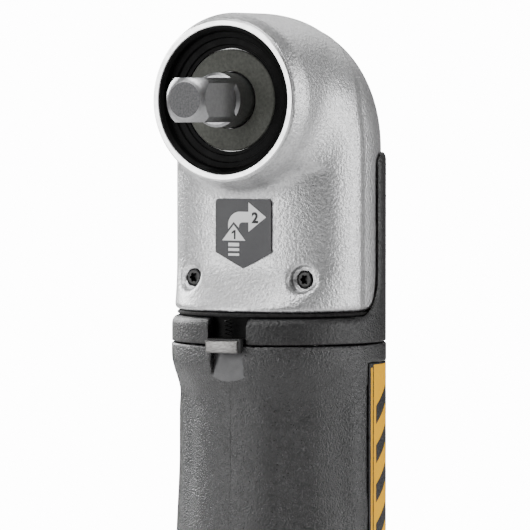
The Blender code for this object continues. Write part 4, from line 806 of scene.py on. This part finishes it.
def grip_field(side):
    """The field of one clamshell half; side is -1 for the left and 1 for the right."""
    def field(x, y, z):
        around = np.hypot(x, y)
        body = grip_body(x, y, z)
        lug = np.maximum.reduce([
            np.abs(x - side * 6.0) - 2.0, y + 18.9, -y + PIN_FRONT - 1.7, np.abs(z - PIN_Z) - 5.0])
        body = smooth_min(body, lug, 0.8)
        hub = np.maximum(around - HUB_BORE, HUB_FLANGE + 0.3 - z)
        chamber = np.maximum.reduce([around - CHAMBER_R, z - HUB_FLANGE - 0.3,
                                     GRIP_LOW.z + 2.0 - z])
        neck = np.maximum(around - TAIL_BORE, z - GRIP_LOW.z - 2.5)
        body = np.maximum(body, -np.minimum.reduce([hub, chamber, neck]))
        pin = np.hypot(y - PIN_Y, z - PIN_Z) - PIN_HOLE
        stem = np.maximum(np.hypot(x, z - STEM_Z) - STEM_HOLE, y + 16.0)
        knob = np.maximum(np.hypot(x, z - KNOB_Z) - KNOB_HOLE, 16.0 - y)
        body = np.maximum(body, -np.minimum.reduce([pin, stem, knob]))
        front_angle = np.degrees(np.arctan2(side * x, -y))
        label = np.maximum.reduce([
            np.abs(front_angle - LABEL_MIDDLE) * 0.41 - (LABEL_HALF + 0.6) * 0.41,
            z - LABEL_HIGH.z - 0.2, LABEL_LOW.z - 0.2 - z, 23.05 - around])
        body = smooth_max(body, -label, 0.15)
        for screw_y, screw_z in SHELL_SCREWS:
            away = np.hypot(y - screw_y, z - screw_z)
            if side > 0:
                body = smooth_max(body, -np.maximum(away - SHELL_SCREW_MOUTH, 15.75 - x), 0.5)
            body = np.maximum(body, -np.maximum(away - SHELL_SCREW_HOLE, np.abs(x) - 18.3))
        return body
    return field


def cut_at_seam(made, side):
    """Keep one side of the middle plane, and close the cut."""
    mesh = bmesh.new()
    mesh.from_mesh(made.data)
    everything = mesh.verts[:] + mesh.edges[:] + mesh.faces[:]
    bmesh.ops.bisect_plane(mesh, geom=everything, plane_co=(0.03 * side * MM, 0.0, 0.0),
                           plane_no=(-side, 0.0, 0.0), clear_outer=True)
    rim = [edge for edge in mesh.edges if len(edge.link_faces) == 1]
    bmesh.ops.holes_fill(mesh, edges=rim, sides=0)
    mesh.to_mesh(made.data)
    mesh.free()
    made.data.set_sharp_from_angle(angle=math.radians(50))


def make_grip():
    cell = 0.5
    for side, name in ((-1.0, "left"), (1.0, "right")):
        low = (min(0.0, 25.0 * side) - 0.8, PIN_FRONT - 3.0, GRIP_LOW.z - 1.0)
        high = (max(0.0, 25.0 * side) + 0.8, 25.0, GRIP_HIGH.z + 1.0)
        made = field_object(f"grip_{name}_fine", grip_field(side), low, high, cell)
        cut_at_seam(made, side)
        finish_piece(made, "handle", GRIP_BLACK, (f"grip_shell_{name}",))


def make_ramp():
    """The smooth tongue on the floor of the recess."""
    columns = 17
    verts, faces = [], []
    for i in range(columns):
        share = 2.0 * i / (columns - 1) - 1.0
        foot, top = ramp_foot(4.1 * share) + 0.05, SEAM - 0.2
        for width, z in ((4.1, foot), (3.62, top)):
            for back in (0.4, -0.06):
                verts.append((width * share, ramp_floor(z) + back, z))
    for i in range(columns - 1):
        a, b = 4 * i, 4 * i + 4
        for j, k in ((0, 1), (1, 3), (3, 2), (2, 0)):
            faces.append([a + j, b + j, b + k, a + k])
    last = 4 * columns - 4
    faces += [[0, 1, 3, 2], [last, last + 2, last + 3, last + 1]]
    insert = object_from("thumb_ramp_fine", verts, faces)
    insert.data.set_sharp_from_angle(angle=math.radians(35))
    finish_piece(insert, "handle", RAMP_GREY)


def curved_band(name, start, end, low, high, inner, outer, side=1.0):
    """A thin piece of a cylinder between two angles, its edges low(angle) and high(angle)."""
    steps = max(2, int(abs(end - start) / 1.5))
    verts, faces = [], []
    for i in range(steps + 1):
        angle = start + (end - start) * i / steps
        for radius, z in ((inner, low(angle)), (outer, low(angle)), (outer, high(angle)),
                          (inner, high(angle))):
            x, y = polar(radius, angle - 90.0)
            verts.append((side * x, y, z))
    for i in range(steps):
        for j in range(4):
            a, b = 4 * i + j, 4 * i + (j + 1) % 4
            faces.append([a, b, b + 4, a + 4])
    last = 4 * steps
    faces += [[3, 2, 1, 0], [last, last + 1, last + 2, last + 3]]
    if side < 0:
        faces = [list(reversed(face)) for face in faces]
    made = object_from(name, verts, faces)
    made.data.set_sharp_from_angle(angle=math.radians(35))
    return made


def make_labels():
    """Yellow film with a thin border line and plain dark chevrons."""
    top, bottom = LABEL_HIGH.z, LABEL_LOW.z
    start, end = LABEL_MIDDLE - LABEL_HALF, LABEL_MIDDLE + LABEL_HALF
    panel_start, panel_end = start + LABEL_BORDER, end - 0.8
    middle = (panel_start + panel_end) / 2
    half = (panel_end - panel_start) / 2 - 2.6
    ink = (LABEL_OUTER - 0.02, LABEL_OUTER + 0.03)
    dark_ink = (LABEL_OUTER + 0.02, LABEL_OUTER + 0.05)

    def level(value):
        return lambda angle: value

    def chevron(value):
        return lambda angle: value - MARK_SLOPE * abs(angle - middle)

    for side, name in ((1.0, "right"), (-1.0, "left")):
        base = curved_band(f"label_base_{name}", start, end, level(bottom), level(top),
                           LABEL_INNER, LABEL_OUTER, side)
        finish_piece(base, "handle", COLLAR_BLACK, (f"side_label_{name}",))
        line = curved_band(f"label_line_{name}", start + 1.6, start + 3.3, level(bottom + 0.4),
                           level(top - 0.9), *ink, side)
        finish_piece(line, "handle", LABEL_YELLOW)
        panel = curved_band(f"label_panel_{name}", panel_start, panel_end, level(bottom + 0.4),
                            level(top - 0.3), *ink, side)
        finish_piece(panel, "handle", LABEL_YELLOW)
        for i in range(MARK_COUNT):
            foot = top - 9.0 - MARK_PITCH * i
            for part, a, b in (("a", middle - half, middle), ("b", middle, middle + half)):
                mark = curved_band(f"label_mark_{name}_{i + 1}{part}", a, b, chevron(foot),
                                   chevron(foot + MARK_HEIGHT), *dark_ink, side)
                finish_piece(mark, "handle", COLLAR_BLACK)


# ---------------------------------------------------------------- controls and fittings
def softened(node, body, material, width):
    """A CAD node's shape with its edges rounded over."""
    source = frame["nodes"][node]
    mesh = source.data.copy()
    mesh.transform(source.matrix_world)
    shape = bmesh.new()
    shape.from_mesh(mesh)
    bmesh.ops.remove_doubles(shape, verts=shape.verts[:], dist=1e-6)
    bmesh.ops.dissolve_limit(shape, angle_limit=math.radians(1.0), verts=shape.verts[:],
                             edges=shape.edges[:])
    shape.to_mesh(mesh)
    shape.free()
    made = bpy.data.objects.new(node + "_fine", mesh)
    bpy.context.scene.collection.objects.link(made)
    if width:
        round_edges(made, width, 3, 40.0)
    mesh = made.data
    mesh.shade_smooth()
    mesh.set_sharp_from_angle(angle=math.radians(35))
    return finish_piece(made, body, material, (node,))


def make_controls():
    softened("throttle_lever", "lever", LEVER_BLACK, 0.5)
    softened("lever_pin", "handle", GEAR_STEEL, 0.2)
    softened("reverse_knob", "knob", COLLAR_BLACK, 0.3)
    softened("exhaust_deflector", "deflector", COLLAR_BLACK, 0.3)
    softened("air_inlet", "handle", ZINC, 0.25)
    for number, (screw_y, screw_z) in enumerate(SHELL_SCREWS, start=1):
        low, high = box_mm(f"shell_screw_{number}")
        radius = (high.z - low.z) / 2
        screw = lathe(f"shell_screw_{number}_fine", [
            (0.0, high.x), (radius - 0.3, high.x), (radius, high.x - 0.3),
            (radius, high.x - SCREW_HEAD_LENGTH), (1.4, high.x - SCREW_HEAD_LENGTH),
            (1.4, low.x), (0.0, low.x)], "side", centre=(0.0, screw_y, screw_z), segments=48)
        socket = prism("socket", socket_outline(1.35, 0.2), high.x - 1.4, high.x + 1.0, "side",
                       centre=(0.0, screw_y, screw_z))
        combine(screw, socket, "DIFFERENCE")
        finish_piece(screw, "handle", OXIDE_BLACK, (f"shell_screw_{number}",))


# ---------------------------------------------------------------- light, camera and floor
VIEW_AZIMUTH = 29.4
VIEW_DISTANCE = 1.0
VIEW_WIDTH = 0.1169              # what the picture spans at the handle axis


def make_camera():
    turn = math.radians(VIEW_AZIMUTH)
    right = Vector((math.cos(turn), math.sin(turn), 0.0))
    away = Vector((math.sin(turn), -math.cos(turn), 0.0))
    axis = Vector((0.0, HANDLE_Y, 0.0))
    place = axis + away * VIEW_DISTANCE
    target = axis - right * 0.0031 + Vector((0.0, 0.0, -0.0364))
    camera = bpy.data.cameras.new("camera")
    camera.sensor_width = 36.0
    camera.lens = camera.sensor_width * VIEW_DISTANCE / VIEW_WIDTH
    camera.clip_start = 0.05
    made = bpy.data.objects.new("camera", camera)
    bpy.context.scene.collection.objects.link(made)
    made.location = place
    made.rotation_euler = (target - place).to_track_quat("-Z", "Y").to_euler()
    bpy.context.scene.camera = made


def area_light(name, azimuth, elevation, distance, width, height, radiance, aim_z=-0.03):
    """A softbox at an angle round the object from its front, aimed at its upper part."""
    turn, up = math.radians(azimuth), math.radians(elevation)
    aim = Vector((0.0, HANDLE_Y, aim_z))
    place = aim + distance * Vector((math.sin(turn) * math.cos(up),
                                     -math.cos(turn) * math.cos(up), math.sin(up)))
    light = bpy.data.lights.new(name, "AREA")
    light.shape = "RECTANGLE"
    light.size = width
    light.size_y = height
    light.energy = radiance * math.pi * width * height
    made = bpy.data.objects.new(name, light)
    bpy.context.scene.collection.objects.link(made)
    made.location = place
    made.rotation_euler = (aim - place).to_track_quat("-Z", "Y").to_euler()


def make_stage():
    """A pale round floor under the tool, a pale world, and soft lights from both sides."""
    bpy.ops.mesh.primitive_circle_add(vertices=96, radius=1.1, fill_type="NGON",
                                      location=(0.0, HANDLE_Y, cad_bounds[0][2] - 0.0004))
    floor = bpy.context.object
    floor.name = "floor"
    material = bpy.data.materials.new("floor_pale")
    material.use_nodes = True
    shader = material.node_tree.nodes["Principled BSDF"]
    shader.inputs["Base Color"].default_value = (0.82, 0.82, 0.82, 1.0)
    shader.inputs["Roughness"].default_value = 0.9
    floor.data.materials.append(material)
    world = bpy.data.worlds.new("studio")
    bpy.context.scene.world = world
    world.use_nodes = True
    tree = world.node_tree
    plain = tree.nodes["Background"]
    plain.inputs["Color"].default_value = (1.0, 1.0, 1.0, 1.0)
    plain.inputs["Strength"].default_value = 0.10
    seen = tree.nodes.new("ShaderNodeBackground")
    seen.inputs["Color"].default_value = (1.0, 1.0, 1.0, 1.0)
    seen.inputs["Strength"].default_value = 14.0
    path = tree.nodes.new("ShaderNodeLightPath")
    mix = tree.nodes.new("ShaderNodeMixShader")
    tree.links.new(path.outputs["Is Camera Ray"], mix.inputs["Fac"])
    tree.links.new(plain.outputs["Background"], mix.inputs[1])
    tree.links.new(seen.outputs["Background"], mix.inputs[2])
    tree.links.new(mix.outputs["Shader"], tree.nodes["World Output"].inputs["Surface"])
    area_light("softbox_front_left", -31.0, 4.0, 0.9, 0.32, 0.9, 8.0)
    area_light("softbox_left", -110.0, 20.0, 0.9, 0.5, 0.45, 13.0)
    area_light("softbox_right", 109.0, 6.0, 0.9, 0.4, 0.8, 6.5)
    area_light("softbox_back", 195.0, 38.0, 0.9, 0.7, 0.4, 2.6)
    area_light("softbox_top", -5.0, 62.0, 0.9, 0.55, 0.45, 9.5)


INTERNAL = {
    "gear_steel": GEAR_STEEL, "bearing_steel": GEAR_STEEL, "spring_steel": GEAR_STEEL,
    "zinc_plated": ZINC, "sintered_bronze": BRONZE, "cast_aluminium": ALLOY,
    "blade_resin": RESIN, "black_plastic": COLLAR_BLACK, "anvil_steel": ANVIL_STEEL,
    "label_yellow": LABEL_YELLOW, "grip_plastic": GRIP_BLACK, "cast_silver": CAST_SILVER,
    "dark_steel": CUP_BLACK, "washer_grey": WASHER_GREY, "gasket_rubber": GASKET_DARK,
    "decal_grey": PLATE_GREY,
}


def dress_cad_nodes():
    """Give every carried-over CAD node the fine material of its record slot; the bayonet ring,
    latch spring and rear bushing get the cup's near-black instead.
    """
    for part in frame["record"]["subparts"]:
        made = frame["nodes"][part["node"]]
        made.data.materials.clear()
        dark = part["node"] in ("bayonet_ring", "latch_spring", "rear_bushing")
        made.data.materials.append(CUP_BLACK if dark else INTERNAL[part["material_slot"]])


dress_cad_nodes()
make_head()
make_nose()
make_anvil()
make_head_screws()
make_symbol_plate()
make_collar()
make_latch()
make_grip()
make_ramp()
make_labels()
make_controls()
make_stage()
make_camera()
